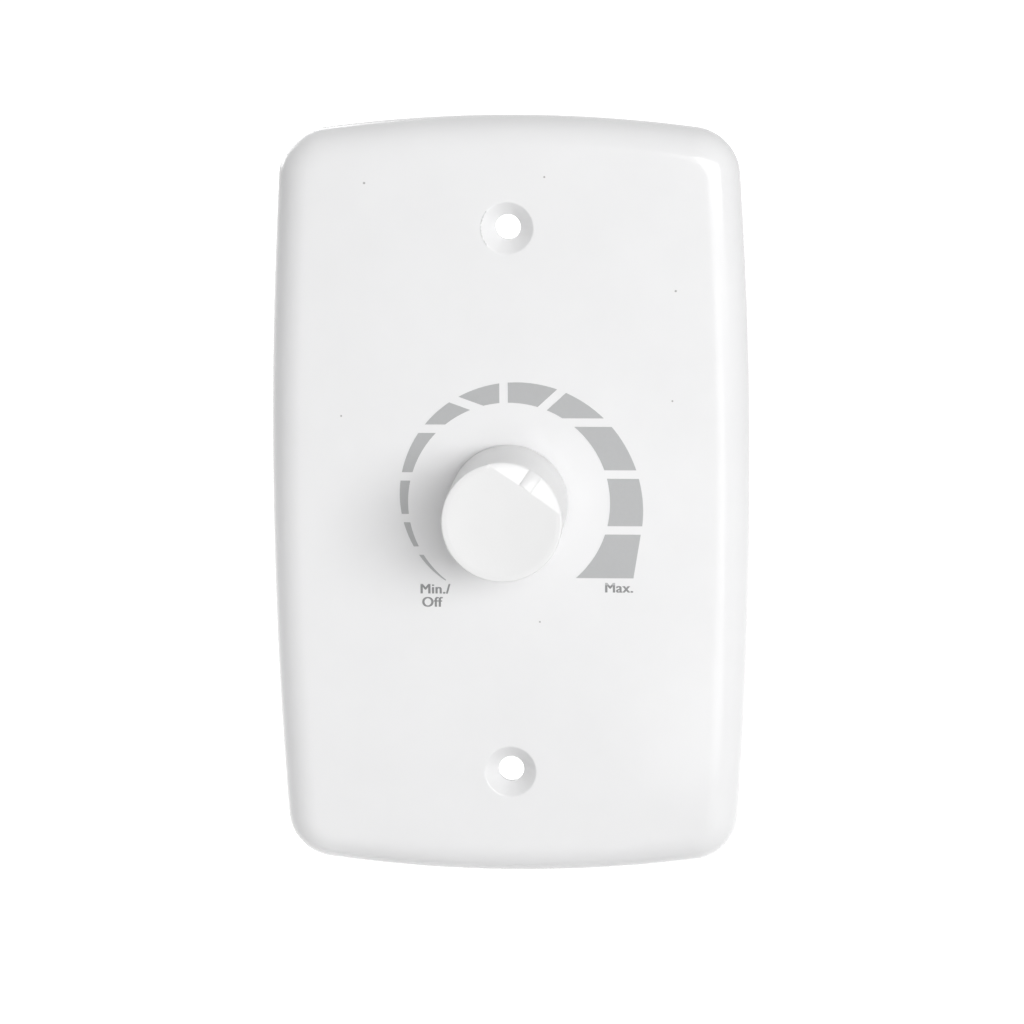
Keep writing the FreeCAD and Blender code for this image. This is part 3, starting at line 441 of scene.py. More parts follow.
@dataclass(frozen=True)
class Moulding(Finish):
    """Moulded plastic."""

    roughness: float
    grain: float = 0.004
    grain_size: float = 0.35
    cloud: float = 0.02
    coat: float = 0.0
    marks: tuple[Union[Speck, LipShade], ...] = ()
    leads: Optional[Leads] = None
    bands: tuple[tuple[float, Colour], ...] = ()
    band_half: float = 0.24

    def paint(self, bench: ShaderBench, where: Signal) -> None:
        """Cloudy colour, faint grain, uneven gloss, and specks, painted shade or colour bands.

        Args:
            bench: The material's bench.
            where: Object coordinates.
        """
        cloud = bench.noise(where, 9.0, 4.0)
        fine = bench.noise(where, self.grain_size, 2.0)
        base = self.clouded(bench, cloud, 1.0 - self.cloud, 1.0 + self.cloud)
        for mark in self.marks:
            # specks are dirt in the plastic; the arc at the hole's lip is painted shade
            base = mark.lay_stain_or_shade(bench, where, fine, base)
        for place, colour in self.bands:
            x = bench.axes(where)[0]
            base = bench.mix(abs(x - place * MM) < self.band_half * MM, base, colour)
        roughness = self.roughness + (cloud - 0.5) * 0.08 + (fine - 0.5) * 0.03
        bench.set(Base_Color=base, Roughness=roughness, Coat_Weight=self.coat)
        if self.leads:
            self.leads.bare(bench, where, base, roughness)
        bench.bump(fine, self.grain)


@dataclass(frozen=True)
class Ink(Finish):
    """Thin screen-printed ink."""

    words_below: float = -12.6

    def paint(self, bench: ShaderBench, where: Signal) -> None:
        """Slightly uneven cover, a dry sheen and a second, darker pass for the words.

        Args:
            bench: The material's bench.
            where: Object coordinates.
        """
        cover = bench.noise(where, 0.5, 4.0, 0.6)
        words = bench.axes(where)[2] < self.words_below * MM
        base = bench.mix(words, self.clouded(bench, cover, 1.03, 0.97), shade(self.colour, 0.55))
        bench.set(Base_Color=base, Roughness=0.36 + cover * 0.12)
        bench.bump(cover, 0.003)


class Lay(Enum):
    """How a metal was worked: stretch, size, detail and roughness of its marks, and their depth."""

    CAST = ((1.0, 1.0, 1.0), 0.18, 4.0, 0.7, 0.02)
    ROLLED = ((1.0, 1.0, 0.04), 0.12, 3.0, 0.6, 0.006)
    TURNED = ((0.03, 1.0, 0.03), 0.09, 2.0, 0.5, 0.01)
    PLATED = ((1.0, 1.0, 1.0), 0.3, 2.0, 0.5, 0.003)


@dataclass(frozen=True)
class Metal(Finish):
    """Bare or plated metal."""

    roughness: float
    lay: Lay

    def paint(self, bench: ShaderBench, where: Signal) -> None:
        """Tool marks or casting grain, dull patches and a metallic base.

        Args:
            bench: The material's bench.
            where: Object coordinates.
        """
        stretch, size, detail, rough, depth = self.lay.value
        patch = bench.noise(where, 2.5, 4.0, 0.6)
        marks = bench.noise(bench.node("ShaderNodeMapping", {"Vector": where, "Scale": stretch}), size, detail, rough)
        dull = self.roughness + patch * 0.14 + marks * 0.08 - 0.1
        bench.set(Base_Color=self.clouded(bench, patch, 0.88, 1.08), Metallic=1.0, Roughness=dull)
        bench.bump(marks, depth)


@dataclass(frozen=True)
class Fired(Finish):
    """A sintered, dipped or laminated part: ferrite, ceramic, phenolic, resin."""

    second: Colour
    roughness: float
    fleck_size: float
    relief: float
    coat: float = 0.0
    leads: Optional[Leads] = None

    def paint(self, bench: ShaderBench, where: Signal) -> None:
        """Two-colour flecks over a cloudy base.

        Args:
            bench: The material's bench.
            where: Object coordinates.
        """
        fleck = bench.noise(where, self.fleck_size, 5.0, 0.65)
        base = bench.mix(fleck.ramp(0.42, 0.66), self.colour, self.second)
        base = bench.mix(bench.noise(where, 4.0) * 0.3, base, shade(self.colour, 0.7))
        roughness = self.roughness + (fleck - 0.5) * 0.15
        bench.set(Base_Color=base, Roughness=roughness, Coat_Weight=self.coat)
        if self.leads:
            self.leads.bare(bench, where, base, roughness)
        bench.bump(fleck, self.relief)


@dataclass(frozen=True)
class Wire(Finish):
    """Enamelled copper wire."""

    def paint(self, bench: ShaderBench, where: Signal) -> None:
        """Varnish over metal, thinner in patches.

        Args:
            bench: The material's bench.
            where: Object coordinates.
        """
        patch = bench.noise(where, 1.2)
        base = self.clouded(bench, patch, 0.75, 1.25)
        bench.set(Base_Color=base, Metallic=0.85, Roughness=0.22 + patch * 0.12, Coat_Weight=0.6)


class Finishes:
    """The finish of each of the record's material slots, made once."""

    table = {
        "plate_plastic": Moulding(
            (0.845, 0.845, 0.85),
            0.2,
            marks=(
                Speck(-21.4, 48.4, 0.3),
                Speck(5.6, 49.3, 0.26),
                Speck(25.2, 32.2, 0.3),
                Speck(-25.3, 13.2, 0.26),
                Speck(24.7, 15.6, 0.24),
                Speck(4.6, -18.3, 0.24),
                # painted shade of the upper hole's left lip
                LipShade(0.0, 41.65, 4.0, 0.9),
            ),
        ),
        "knob_plastic": Moulding((0.825, 0.825, 0.825), 0.3, grain=0.006),
        "scale_ink": Ink((0.43, 0.435, 0.44)),
        "spring_steel": Metal((0.5, 0.51, 0.53), 0.3, Lay.ROLLED),
        "plated_steel": Metal((0.72, 0.72, 0.71), 0.25, Lay.PLATED),
        "die_cast_zinc": Metal((0.58, 0.585, 0.6), 0.42, Lay.CAST),
        "shaft_aluminium": Metal((0.8, 0.8, 0.81), 0.28, Lay.TURNED),
        "sink_aluminium": Metal((0.77, 0.78, 0.79), 0.36, Lay.ROLLED),
        "phenolic": Fired((0.2, 0.09, 0.04), (0.3, 0.15, 0.07), 0.5, 0.5, 0.01),
        "contact_brass": Metal((0.82, 0.6, 0.28), 0.28, Lay.ROLLED),
        "tinned_brass": Metal((0.76, 0.74, 0.7), 0.3, Lay.PLATED),
        "board_laminate": Fired((0.5, 0.34, 0.14), (0.58, 0.42, 0.2), 0.45, 0.7, 0.006),
        "component_black": Moulding((0.03, 0.03, 0.032), 0.55, grain=0.012, grain_size=0.2, cloud=0.2),
        "film_capacitor": Fired((0.36, 0.09, 0.035), (0.44, 0.13, 0.05), 0.3, 1.4, 0.02, 0.5, Leads(9.6, True)),
        "box_capacitor": Moulding((0.8, 0.58, 0.1), 0.42, grain=0.01, grain_size=0.2, leads=Leads(11.1, False)),
        "ferrite": Fired((0.035, 0.035, 0.038), (0.07, 0.07, 0.075), 0.65, 0.25, 0.02),
        "enamelled_copper": Wire((0.58, 0.22, 0.07)),
        "resistor_coat": Moulding(
            (0.62, 0.45, 0.25),
            0.4,
            leads=Leads(9.5, True, 14.2, 2.98),
            bands=(
                (12.0, (0.12, 0.04, 0.02)),
                (13.1, (0.01, 0.01, 0.01)),
                (14.2, (0.75, 0.3, 0.02)),
                (16.2, (0.6, 0.42, 0.12)),
            ),
        ),
        "diode_glass_blue": Moulding((0.06, 0.17, 0.42), 0.12, coat=0.6, leads=Leads(9.5, True, 9.0, 1.9)),
        "fuse_body": Fired(
            (0.78, 0.76, 0.7), (0.84, 0.82, 0.77), 0.35, 0.6, 0.006, leads=Leads(11.1, False, -11.0, 3.98)
        ),
        "block_plastic": Moulding((0.6, 0.6, 0.58), 0.42, grain=0.01, grain_size=0.25),
        "housing_plastic": Moulding((0.76, 0.76, 0.75), 0.48, grain=0.016, grain_size=0.3),
    }
    _made: dict[str, bpy.types.Material] = {}

    @classmethod
    def get(cls, slot: str) -> bpy.types.Material:
        """The material of a record slot.

        Args:
            slot: The slot's name.

        Returns:
            The material, made at the first call.
        """
        if slot not in cls._made:
            cls._made[slot] = cls.table[slot].make(slot)
        return cls._made[slot]


# Mesh work


def placed(name: str, data: bpy.types.ID) -> bpy.types.Object:
    """Puts a new object in the scene.

    Args:
        name: Its name.
        data: Its mesh, letters, camera or lamp.

    Returns:
        The object.
    """
    item = bpy.data.objects.new(name, data)
    bpy.context.scene.collection.objects.link(item)
    return item


def baked(holder: bpy.types.Object) -> bpy.types.Mesh:
    """Makes a plain mesh of an object's modifiers or letters, and removes the object.

    Args:
        holder: The object.

    Returns:
        The mesh.
    """
    mesh = bpy.data.meshes.new_from_object(holder.evaluated_get(bpy.context.evaluated_depsgraph_get()))
    holder.modifiers.clear()
    bpy.data.objects.remove(holder)
    return mesh


@contextmanager
def edited(mesh: bpy.types.Mesh) -> Iterator[bmesh.types.BMesh]:
    """Opens a mesh for changes and writes it back.

    Args:
        mesh: The mesh.

    Yields:
        Its editable form.
    """
    bm = bmesh.new()
    bm.from_mesh(mesh)
    yield bm
    bm.to_mesh(mesh)
    bm.free()


def finished(mesh: bpy.types.Mesh, name: str, body: Body, slot: str, sharp_deg: float) -> bpy.types.Object:
    """Puts a mesh in the scene as a finished piece.

    Args:
        mesh: The mesh, in metres, in the part's frame.
        name: The piece's name.
        body: The body it rides on.
        slot: The record's material slot.
        sharp_deg: Edges above this angle stay sharp.

    Returns:
        The object.
    """
    mesh.shade_smooth()
    mesh.set_sharp_from_angle(angle=math.radians(sharp_deg))
    mesh.materials.clear()
    mesh.materials.append(Finishes.get(slot))
    piece = placed(name, mesh)
    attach(piece, body.value)
    LOG.info("made %s on %s, %d faces", name, body.value, len(mesh.polygons))
    return piece


def four(at: Flat) -> list[Flat]:
    """A place and its mirror images, at the corners of a rectangle."""
    return [(x * at[0], z * at[1]) for x in (-1, 1) for z in (-1, 1)]


def crown(half_chord: float, bulge: float) -> float:
    """Radius of the arc that rises by a bulge over a chord."""
    return (half_chord**2 + bulge**2) / (2 * bulge)


def ring_points(radius: float, y: float, at: Flat = (0.0, 0.0), count: int = 64) -> list[Vector]:
    """Points of a circle about an axis along Y."""
    steps = [TURN * i / count for i in range(count)]
    return [Vector((at[0] + radius * math.cos(a), y, at[1] + radius * math.sin(a))) for a in steps]


def rounded(before: Vector, corner: Vector, after: Vector, ease: float, count: int = 5) -> list[Vector]:
    """Points round a corner.

    Args:
        before: A point on the line that leads to the corner.
        corner: The sharp corner.
        after: A point on the line that leads on.
        ease: Distance from the corner at which the round starts and ends.
        count: Number of points.

    Returns:
        Points from one line to the other.
    """
    a = corner + (before - corner).normalized() * ease
    b = corner + (after - corner).normalized() * ease
    steps = [i / (count - 1) for i in range(count)]
    return [a * (1 - t) ** 2 + corner * 2 * t * (1 - t) + b * t**2 for t in steps]


def eased(profile: Sequence[Flat], radii: dict[int, float], count: int = 5) -> list[Vector]:
    """Rounds some corners of a profile.

    Args:
        profile: Its points.
        radii: The ease of each corner that is rounded, by its place in the list.
        count: Number of points in a round.

    Returns:
        The points of the new profile.
    """
    corners = [Vector(point) for point in profile]
    points = []
    for i, corner in enumerate(corners):
        if i in radii:
            points += rounded(corners[i - 1], corner, corners[(i + 1) % len(corners)], radii[i], count)
        else:
            points.append(corner)
    return points


class Solid:
    """Collects closed forms in millimetres and makes one smooth piece of them."""

    def __init__(self) -> None:
        """Starts with no form."""
        self.points: list[Vector] = []
        self.faces: list[tuple[int, ...]] = []

    def add(self, points: Iterable[Vector]) -> list[int]:
        """Adds points.

        Args:
            points: The points.

        Returns:
            Their numbers.
        """
        first = len(self.points)
        self.points += [Vector(p) for p in points]
        return list(range(first, len(self.points)))

    def take(self, points: Iterable[Vector], faces: Iterable[Sequence[int]]) -> None:
        """Adds a form given by its points and faces."""
        numbers = self.add(points)
        self.faces += [tuple(numbers[n] for n in face) for face in faces]

    def loft(self, rings: Iterable[Sequence[Vector]]) -> tuple[list[int], list[int]]:
        """Joins rings of points in turn.

        Args:
            rings: The rings, each with the same number of points.

        Returns:
            The numbers of the first and last ring.
        """
        rows = [self.add(ring) for ring in rings]
        for first, second in zip(rows, rows[1:]):
            self.bridge(first, second)
        return rows[0], rows[-1]

    def bridge(self, first: Sequence[int], second: Sequence[int]) -> None:
        """Joins two rings of points with quads.

        Args:
            first: Numbers of one ring's points.
            second: Numbers of the other's.
        """
        count = len(first)
        for i in range(count):
            j = (i + 1) % count
            self.faces.append((first[i], first[j], second[j], second[i]))

    def cap(self, *rings: Sequence[int]) -> None:
        """Closes each ring with one flat face."""
        self.faces += [tuple(ring) for ring in rings]

    def fill(self, outline: Sequence[int], holes: Sequence[Sequence[int]]) -> None:
        """Fills a flat outline round its holes.

        Args:
            outline: Numbers of the outline's points.
            holes: Numbers of each hole's points.
        """
        rings = [outline, *holes]
        numbers = [n for ring in rings for n in ring]
        flat = [[Vector((self.points[n].x, self.points[n].z, 0.0)) for n in ring] for ring in rings]
        self.faces += [tuple(numbers[i] for i in triangle) for triangle in tessellate_polygon(flat)]

    def turned(self, profile: Sequence[Vector], at: Flat, count: int) -> tuple[list[int], list[int]]:
        """Turns an open profile of (radius, y) about an axis along Y."""
        return self.loft([ring_points(r, y, at, count) for r, y in profile])

    def block(self, low: Point, high: Point, ease: float) -> None:
        """Adds a block with eased edges.

        Args:
            low: Its corner at the low ends.
            high: Its corner at the high ends.
            ease: Width of the ease.
        """
        bm = bmesh.new()
        bmesh.ops.create_cube(bm, size=1.0)
        bmesh.ops.scale(bm, vec=[h - l for l, h in zip(low, high)], verts=bm.verts)
        bmesh.ops.translate(bm, vec=Vector([(h + l) / 2 for l, h in zip(low, high)]), verts=bm.verts)
        bmesh.ops.bevel(bm, geom=bm.edges[:], offset=ease, segments=2, profile=0.5, affect="EDGES")
        bm.verts.index_update()
        self.take((v.co for v in bm.verts), ([v.index for v in f.verts] for f in bm.faces))
        bm.free()

    def word(self, text: str, cap_height: float, raised: float, at: Point, front: bool = True) -> None:
        """Adds a word in relief.

        Args:
            text: The word.
            cap_height: Height of its capitals.
            raised: How far the letters stand out.
            at: Where it stands: its left end in front, its middle behind.
            front: Whether it is read from the front or from behind.
        """
        curve = bpy.data.curves.new("word", "FONT")
        curve.body = text
        curve.size = cap_height / CAP_SHARE
        curve.extrude = raised
        curve.align_x = "LEFT" if front else "CENTER"
        curve.space_character = 1.06
        glyphs = baked(placed("word_holder", curve))
        side = 1 if front else -1
        points = (Vector((side * v.co.x, -side * v.co.z, v.co.y)) + Vector(at) for v in glyphs.vertices)
        self.take(points, (face.vertices for face in glyphs.polygons))

    def piece(self, name: str, body: Body, slot: str, sharp_deg: float) -> bpy.types.Object:
        """Makes the piece.

        Args:
            name: The piece's name.
            body: The body it rides on.
            slot: The record's material slot.
            sharp_deg: Edges above this angle stay sharp.

        Returns:
            The object, in metres, with its place in its mesh.
        """
        mesh = bpy.data.meshes.new(name)
        mesh.from_pydata([p * MM for p in self.points], [], self.faces)
        with edited(mesh) as bm:
            bmesh.ops.remove_doubles(bm, verts=bm.verts, dist=WELD)
            bmesh.ops.recalc_face_normals(bm, faces=bm.faces)
        return finished(mesh, name, body, slot, sharp_deg)


# Sub-assemblies


@dataclass
class FacePlate:
    """The pillow-edged face plate, hollow behind."""

    width: float = 72.8
    height: float = 116.4
    front_y: float = -5.6
    side_bulge: float = 2.1
    end_bulge: float = 2.8
    corner_radius: float = 7.6
    edge_round: float = 5.0
    wall: float = 2.0
    screw_spacing: float = 83.3
    screw_hole_d: float = 3.8
    countersink_d: float = 7.8
    pad_d: float = 10.6
    pad_thickness: float = 3.0
    bushing_hole_d: float = 7.3
    boss_at: Flat = (16.0, 32.6)
    boss_d: float = 6.0
    boss_top: float = 1.5
    pilot_d: float = 2.6
    pilot_bottom: float = -2.5
    frame_size: Flat = (48.3, 60.3)
    frame_height: float = 2.0
    frame_wall: float = 1.0
    frame_corner: float = 2.2
    rib_at: Flat = (14.0, 0.9)
    rib_half: float = 0.6
    rib_height: float = 2.8
    sunk: float = 0.3

    @property
    def floor_y(self) -> float:
        """Depth of the plate's inner face."""
        return self.front_y + self.wall

    def outline(self) -> list[tuple[Vector, Vector]]:
        """Traces the outline: crowned sides and ends, and tangent corners.

        Returns:
            Its points with their outward directions.
        """
        side_r = crown(self.height / 2 - self.end_bulge, self.side_bulge)
        end_r = crown(self.width / 2 - self.side_bulge, self.end_bulge)
        side_centre = Vector((self.width / 2 - side_r, 0.0))
        end_centre = Vector((0.0, self.height / 2 - end_r))
        between = end_centre - side_centre
        near, far = side_r - self.corner_radius, end_r - self.corner_radius
        along = (near**2 - far**2 + between.length**2) / (2 * between.length)
        unit = between.normalized()
        corner = side_centre + unit * along + Vector((-unit.y, unit.x)) * math.sqrt(near**2 - along**2)
        side_angle = math.atan2(*reversed(corner - side_centre))
        end_angle = math.atan2(*reversed(corner - end_centre))
        runs = (
            (side_centre, side_r, 0.0, side_angle, 18),
            (corner, self.corner_radius, side_angle, end_angle, 26),
            (end_centre, end_r, end_angle, QUARTER, 12),
        )
        right = []
        for centre, radius, start, end, steps in runs:
            for i in range(steps):
                angle = start + (end - start) * i / steps
                way = Vector((math.cos(angle), math.sin(angle)))
                right.append((centre + way * radius, way))
        right.append((Vector((0.0, self.height / 2)), Vector((0.0, 1.0))))
        upper = right + self._mirror(right[:-1], -1, 1)
        return upper + self._mirror(upper[1:-1], 1, -1)

    @staticmethod
    def _mirror(points: Sequence[tuple[Vector, Vector]], i: int, j: int) -> list[tuple[Vector, Vector]]:
        """Outline points mirrored left-right or up-down, in reverse order."""
        return [(Vector((i * p.x, j * p.y)), Vector((i * w.x, j * w.y))) for p, w in reversed(points)]

    def _skin(self, steps: int = 16) -> list[list[Vector]]:
        """Draws rings over the outer skin, round the rear rim and down the inner skin.

        Args:
            steps: Steps in each rolled edge.

        Returns:
            The rings in order.
        """
        turns = [QUARTER * i / steps for i in range(steps + 1)]
        start_y, inner_r = self.front_y + self.edge_round, self.edge_round - self.wall
        rim = [(0.0, -0.25), (0.03, -0.1), (0.1, -0.03), (0.25, 0.0)]
        profile = [
            (self.edge_round + 0.5, self.front_y),
            *(self._quarter(0.0, start_y, self.edge_round, t) for t in reversed(turns)),
            *rim,
            *((self.wall - inset, y) for inset, y in reversed(rim)),
            *(self._quarter(self.wall, start_y, inner_r, t) for t in turns),
            (self.edge_round + 0.4, self.floor_y),
        ]
        outline = self.outline()
        return [[Vector(((p - w * inset).x, y, (p - w * inset).y)) for p, w in outline] for inset, y in profile]

    @staticmethod
    def _quarter(inset: float, y: float, radius: float, angle: float) -> Flat:
        """Inset and depth of a point on the rolled edge."""
        return inset + radius * (1 - math.cos(angle)), y - radius * math.sin(angle)

    def shell(self) -> bpy.types.Object:
        """Builds the plate and stands it for its CAD node.

        Returns:
            The piece.
        """
        solid = Solid()
        outer, inner = solid.loft(self._skin())
        half = self.screw_spacing / 2
        rings = [self._screw_hole(solid, z) for z in (half, -half)]
        bore, rim = self.bushing_hole_d / 2, self.bushing_hole_d / 2 + 0.4
        corners = [(rim, self.front_y), (bore, self.front_y), (bore, self.floor_y), (rim, self.floor_y)]
        rings.append(solid.turned(eased(corners, {1: 0.12, 2: 0.12}), (0.0, 0.0), 72))
        solid.fill(outer, [front for front, _ in rings])
        solid.fill(inner, [floor for _, floor in rings])
        for at in four(self.boss_at):
            self._boss(solid, at)
        for x, side in four((self.rib_at[0], 1.0)):
            self._rib(solid, x, side)
        self._locating_frame(solid)
        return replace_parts(solid.piece("face_plate_shell", Body.WALL, "plate_plastic", 50.0), "face_plate")

    def _screw_hole(self, solid: Solid, z: float) -> tuple[list[int], list[int]]:
        """Adds a countersunk hole through the face and its pad.

        Args:
            solid: The plate.
            z: The hole's height.

        Returns:
            Its rings in the face and in the floor.
        """
        hole, cone, pad = self.screw_hole_d / 2, self.countersink_d / 2, self.pad_d / 2
        pad_y = self.front_y + self.pad_thickness
        corners = [
            (cone + 0.6, self.front_y),
            (cone, self.front_y),
            (hole, self.front_y + cone - hole),
            (hole, pad_y),
            (pad, pad_y),
            (pad, self.floor_y),
            (pad + 0.6, self.floor_y),
        ]
        return solid.turned(eased(corners, {1: 0.16, 2: 0.12, 3: 0.12, 4: 0.2, 5: 0.3}), (0.0, z), 72)

    def _boss(self, solid: Solid, at: Flat) -> None:
        """Adds a screw boss for the rear housing.

        Args:
            solid: The plate.
            at: The boss's axis.
        """
        outer, pilot, low_y = self.boss_d / 2, self.pilot_d / 2, self.floor_y - self.sunk
        corners = [
            (outer, low_y),
            (outer, self.boss_top),
            (pilot, self.boss_top),
            (pilot, self.pilot_bottom),
            (0.02, self.pilot_bottom),
            (0.02, low_y),
        ]
        first, last = solid.turned(eased(corners, {1: 0.25, 2: 0.2}), at, 40)
        solid.bridge(last, first)

    def _rib(self, solid: Solid, x: float, side: float) -> None:
        """Adds a stiffening rib from the locating frame to one end.

        Args:
            solid: The plate.
            x: The rib's middle.
            side: 1 for the upper end and -1 for the lower.
        """
        near, far = sorted((side * (self.frame_size[1] / 2 - self.rib_at[1]), side * (self.height / 2 - self.wall)))
        low = (x - self.rib_half, self.floor_y - 0.4, near)
        solid.block(low, (x + self.rib_half, self.floor_y + self.rib_height, far), 0.18)

    def _locating_frame(self, solid: Solid) -> None:
        """Adds the low wall that the rear housing stands in.

        Args:
            solid: The plate.
        """
        low, high = self.floor_y - self.sunk, self.floor_y + self.frame_height
        corners = [(0.0, low), (0.0, high), (self.frame_wall, high), (self.frame_wall, low)]
        first, last = solid.loft(self._frame_ring(inset, y) for inset, y in eased(corners, {1: 0.2, 2: 0.2}, 4))
        solid.bridge(last, first)

    def _frame_ring(self, inset: float, y: float, steps: int = 6) -> list[Vector]:
        """Draws the locating frame's outline, a rectangle with round corners.

        Args:
            inset: How far it is drawn in.
            y: Its depth.
            steps: Steps in each corner.

        Returns:
            Its points.
        """
        radius = self.frame_corner - inset
        half_x, half_z = (size / 2 - self.frame_corner for size in self.frame_size)
        points = []
        for i, (x, z) in enumerate(((1, 1), (-1, 1), (-1, -1), (1, -1))):
            for k in range(steps + 1):
                angle = QUARTER * (i + k / steps)
                points.append(Vector((x * half_x + radius * math.cos(angle), y, z * half_z + radius * math.sin(angle))))
        return points


@dataclass
class SpeedScale:
    """Words beside the printed crescent; the crescent itself is its CAD node in ink."""

    cap_height: float = 1.5
    ink: float = 0.03
    stroke: float = 0.14
    words: tuple[tuple[str, float, float], ...] = (
        ("Min./", -13.7, -14.0),
        ("Off", -13.4, -16.05),
        ("Max.", 14.35, -13.7),
    )

    def lettering(self) -> None:
        """Builds each word as thin ink on the plate's face, three times side by side for a bold stroke."""
        for number, (text, x, z) in enumerate(self.words):
            solid = Solid()
            for weight in range(3):
                at = (x + weight * self.stroke / 2, FacePlate.front_y + weight * 0.004, z)
                solid.word(text, self.cap_height, self.ink, at)
            solid.piece(f"scale_word_{number}", Body.WALL, "scale_ink", 30.0)


@dataclass
class Knob:
    """The turned knob with its dished face, slanted facet and half-round pointer bar."""

    radius: float = 8.95
    face_y: float = -23.1
    rim_y: float = -6.0
    edge: float = 0.4
    crease: float = 0.12
    dish_depth: float = 0.3
    dish_margin: float = 0.9
    facet_offset: float = 5.5
    facet_slope: float = math.radians(14.0)
    pointer_half: float = 1.1
    pointer_height: float = 0.35
    pointer_start: float = 0.6
    rest_deg: float = 35.0
    wall: float = 1.5
    end_wall: float = 2.0
    boss_r: float = 5.2
    boss_y: float = -10.4
    bore_r: float = 3.15
    bore_flat_z: float = -2.15
    bore_tip_y: float = -20.4
    web_count: int = 6
    web: float = 0.9

    def _dish_y(self, x: float, z: float) -> float:
        """Depth of the dished face at a point.

        Args:
            x: Its place across.
            z: Its place up.

        Returns:
            The depth along Y.
        """
        dish_r = self.radius - self.dish_margin
        sphere = crown(dish_r, self.dish_depth)
        return self.face_y + self.dish_depth - sphere + math.sqrt(sphere**2 - min(x * x + z * z, dish_r**2))

    def _facet_y(self, z: float) -> float:
        """Depth of the facet's plane at a height."""
        return self.face_y + (z - self.facet_offset) * math.tan(self.facet_slope)

    def _chord_z(self) -> float:
        """Finds where the facet meets the dish, by small steps.

        Returns:
            The height at which they meet.
        """
        z = self.facet_offset
        for _ in range(40):
            z += (self._dish_y(0.0, z) - self._facet_y(z)) * 2.0
        return z

    def _meridian(self, wall: Vector, near: Vector, wall_y: float) -> list[Vector]:
        """One line over the knob from the face's centre to the rim.

        Args:
            wall: Where the line goes over the edge.
            near: Where the dish ends on the way there.
            wall_y: Depth of the edge.

        Returns:
            The line's points.
        """
        line = [Vector((near.x * i / 15, 0.0, near.y * i / 15)) for i in range(16)]
        for p in line:
            p.y = self._dish_y(p.x, p.z)
        inner, end = line.pop(), Vector((wall.x, wall_y, wall.y))
        third = (end - inner).length / 3
        down = Vector((wall.x, wall_y + 3.0, wall.y))
        line += rounded(line[-1], inner, end, min(self.crease, third))
        line += rounded(inner, end, down, min(self.edge, third), 8)
        return line + [Vector((wall.x, y, wall.y)) for y in (-19.0, -15.0, -10.5, self.rim_y - 0.25)]

    def _skin(self, across: int = 60, around: int = 140) -> list[list[Vector]]:
        """Draws lines round the whole knob: those that cross the facet, then the others.

        Args:
            across: Steps across the facet.
            around: Steps round the rest.

        Returns:
            The lines in order.
        """
        chord = self._chord_z()
        half_chord = math.sqrt(self.radius**2 - chord**2)
        half_angle = math.atan2(half_chord, chord)
        lines = []
        for i in range(across + 1):
            x = half_chord * 0.995 * (2 * i / across - 1)
            wall = Vector((x, math.sqrt(self.radius**2 - x**2)))
            lines.append(self._meridian(wall, Vector((x, min(chord, wall.y))), self._facet_y(wall.y)))
        for i in range(around + 1):
            angle = half_angle + (TURN - 2 * half_angle) * i / around
            wall = Vector((math.sin(angle), math.cos(angle))) * self.radius
            lines.append(self._meridian(wall, wall.normalized() * (self.radius - self.dish_margin), self.face_y))
        return lines

    def cap(self) -> bpy.types.Object:
        """Builds the knob and stands it for its CAD node.

        Returns:
            The piece.
        """
        solid = Solid()
        rows = list(zip(*self._skin()))
        outer = rows[-1]
        ceiling = self.face_y + self.end_wall
        inside = (
            (0.05, self.rim_y - 0.08),
            (0.2, self.rim_y),
            (self.wall - 0.15, self.rim_y),
            (self.wall, self.rim_y - 0.15),
            (self.wall, ceiling + 0.5),
            (self.wall + 0.5, ceiling),
        )
        for inset, y in inside:
            scale = 1 - inset / self.radius
            rows.append([Vector((p.x * scale, y, p.z * scale)) for p in outer])
        _, last = solid.loft(rows)
        solid.cap(last)
        self._boss(solid, ceiling)
        self._pointer(solid)
        turn = Matrix.Rotation(math.radians(self.rest_deg), 4, "Y")
        solid.points = [turn @ p for p in solid.points]
        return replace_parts(solid.piece("knob_cap", Body.KNOB, "knob_plastic", 70.0), "knob")

    def _pointer(self, solid: Solid, sunk: float = 0.3, ease: float = 0.12, sections: int = 24) -> None:
        """Adds the half-round bar along the middle of the facet.

        Args:
            solid: The knob, before it is turned to its rest.
            sunk: How far the bar is let into the facet.
            ease: Ease of its far end.
            sections: Steps across it.
        """
        half, height = self.pointer_half, self.pointer_height
        radius = crown(half, height)
        out = Vector((0.0, -math.cos(self.facet_slope), math.sin(self.facet_slope)))
        along = Vector((0.0, math.sin(self.facet_slope), math.cos(self.facet_slope)))
        base = Vector((0.0, self.face_y, self.facet_offset))
        start = self.pointer_start
        rings = []
        for k in range(sections + 1):
            bend = math.asin(half / radius) * (2 * k / sections - 1)
            side, lift = radius * math.sin(bend), radius * math.cos(bend) - radius + height
            wall_z = math.sqrt((self.radius - 0.01) ** 2 - side**2)
            far = (wall_z - base.z - out.z * lift) / along.z
            corners = ((start, sunk), (start, -lift), (far - ease, -lift), (far, ease - lift), (far, sunk))
            section = [base + along * place - out * sink for place, sink in corners]
            rings.append([Vector((side, max(p.y, self.face_y), p.z)) for p in section])
        solid.cap(*solid.loft(rings))

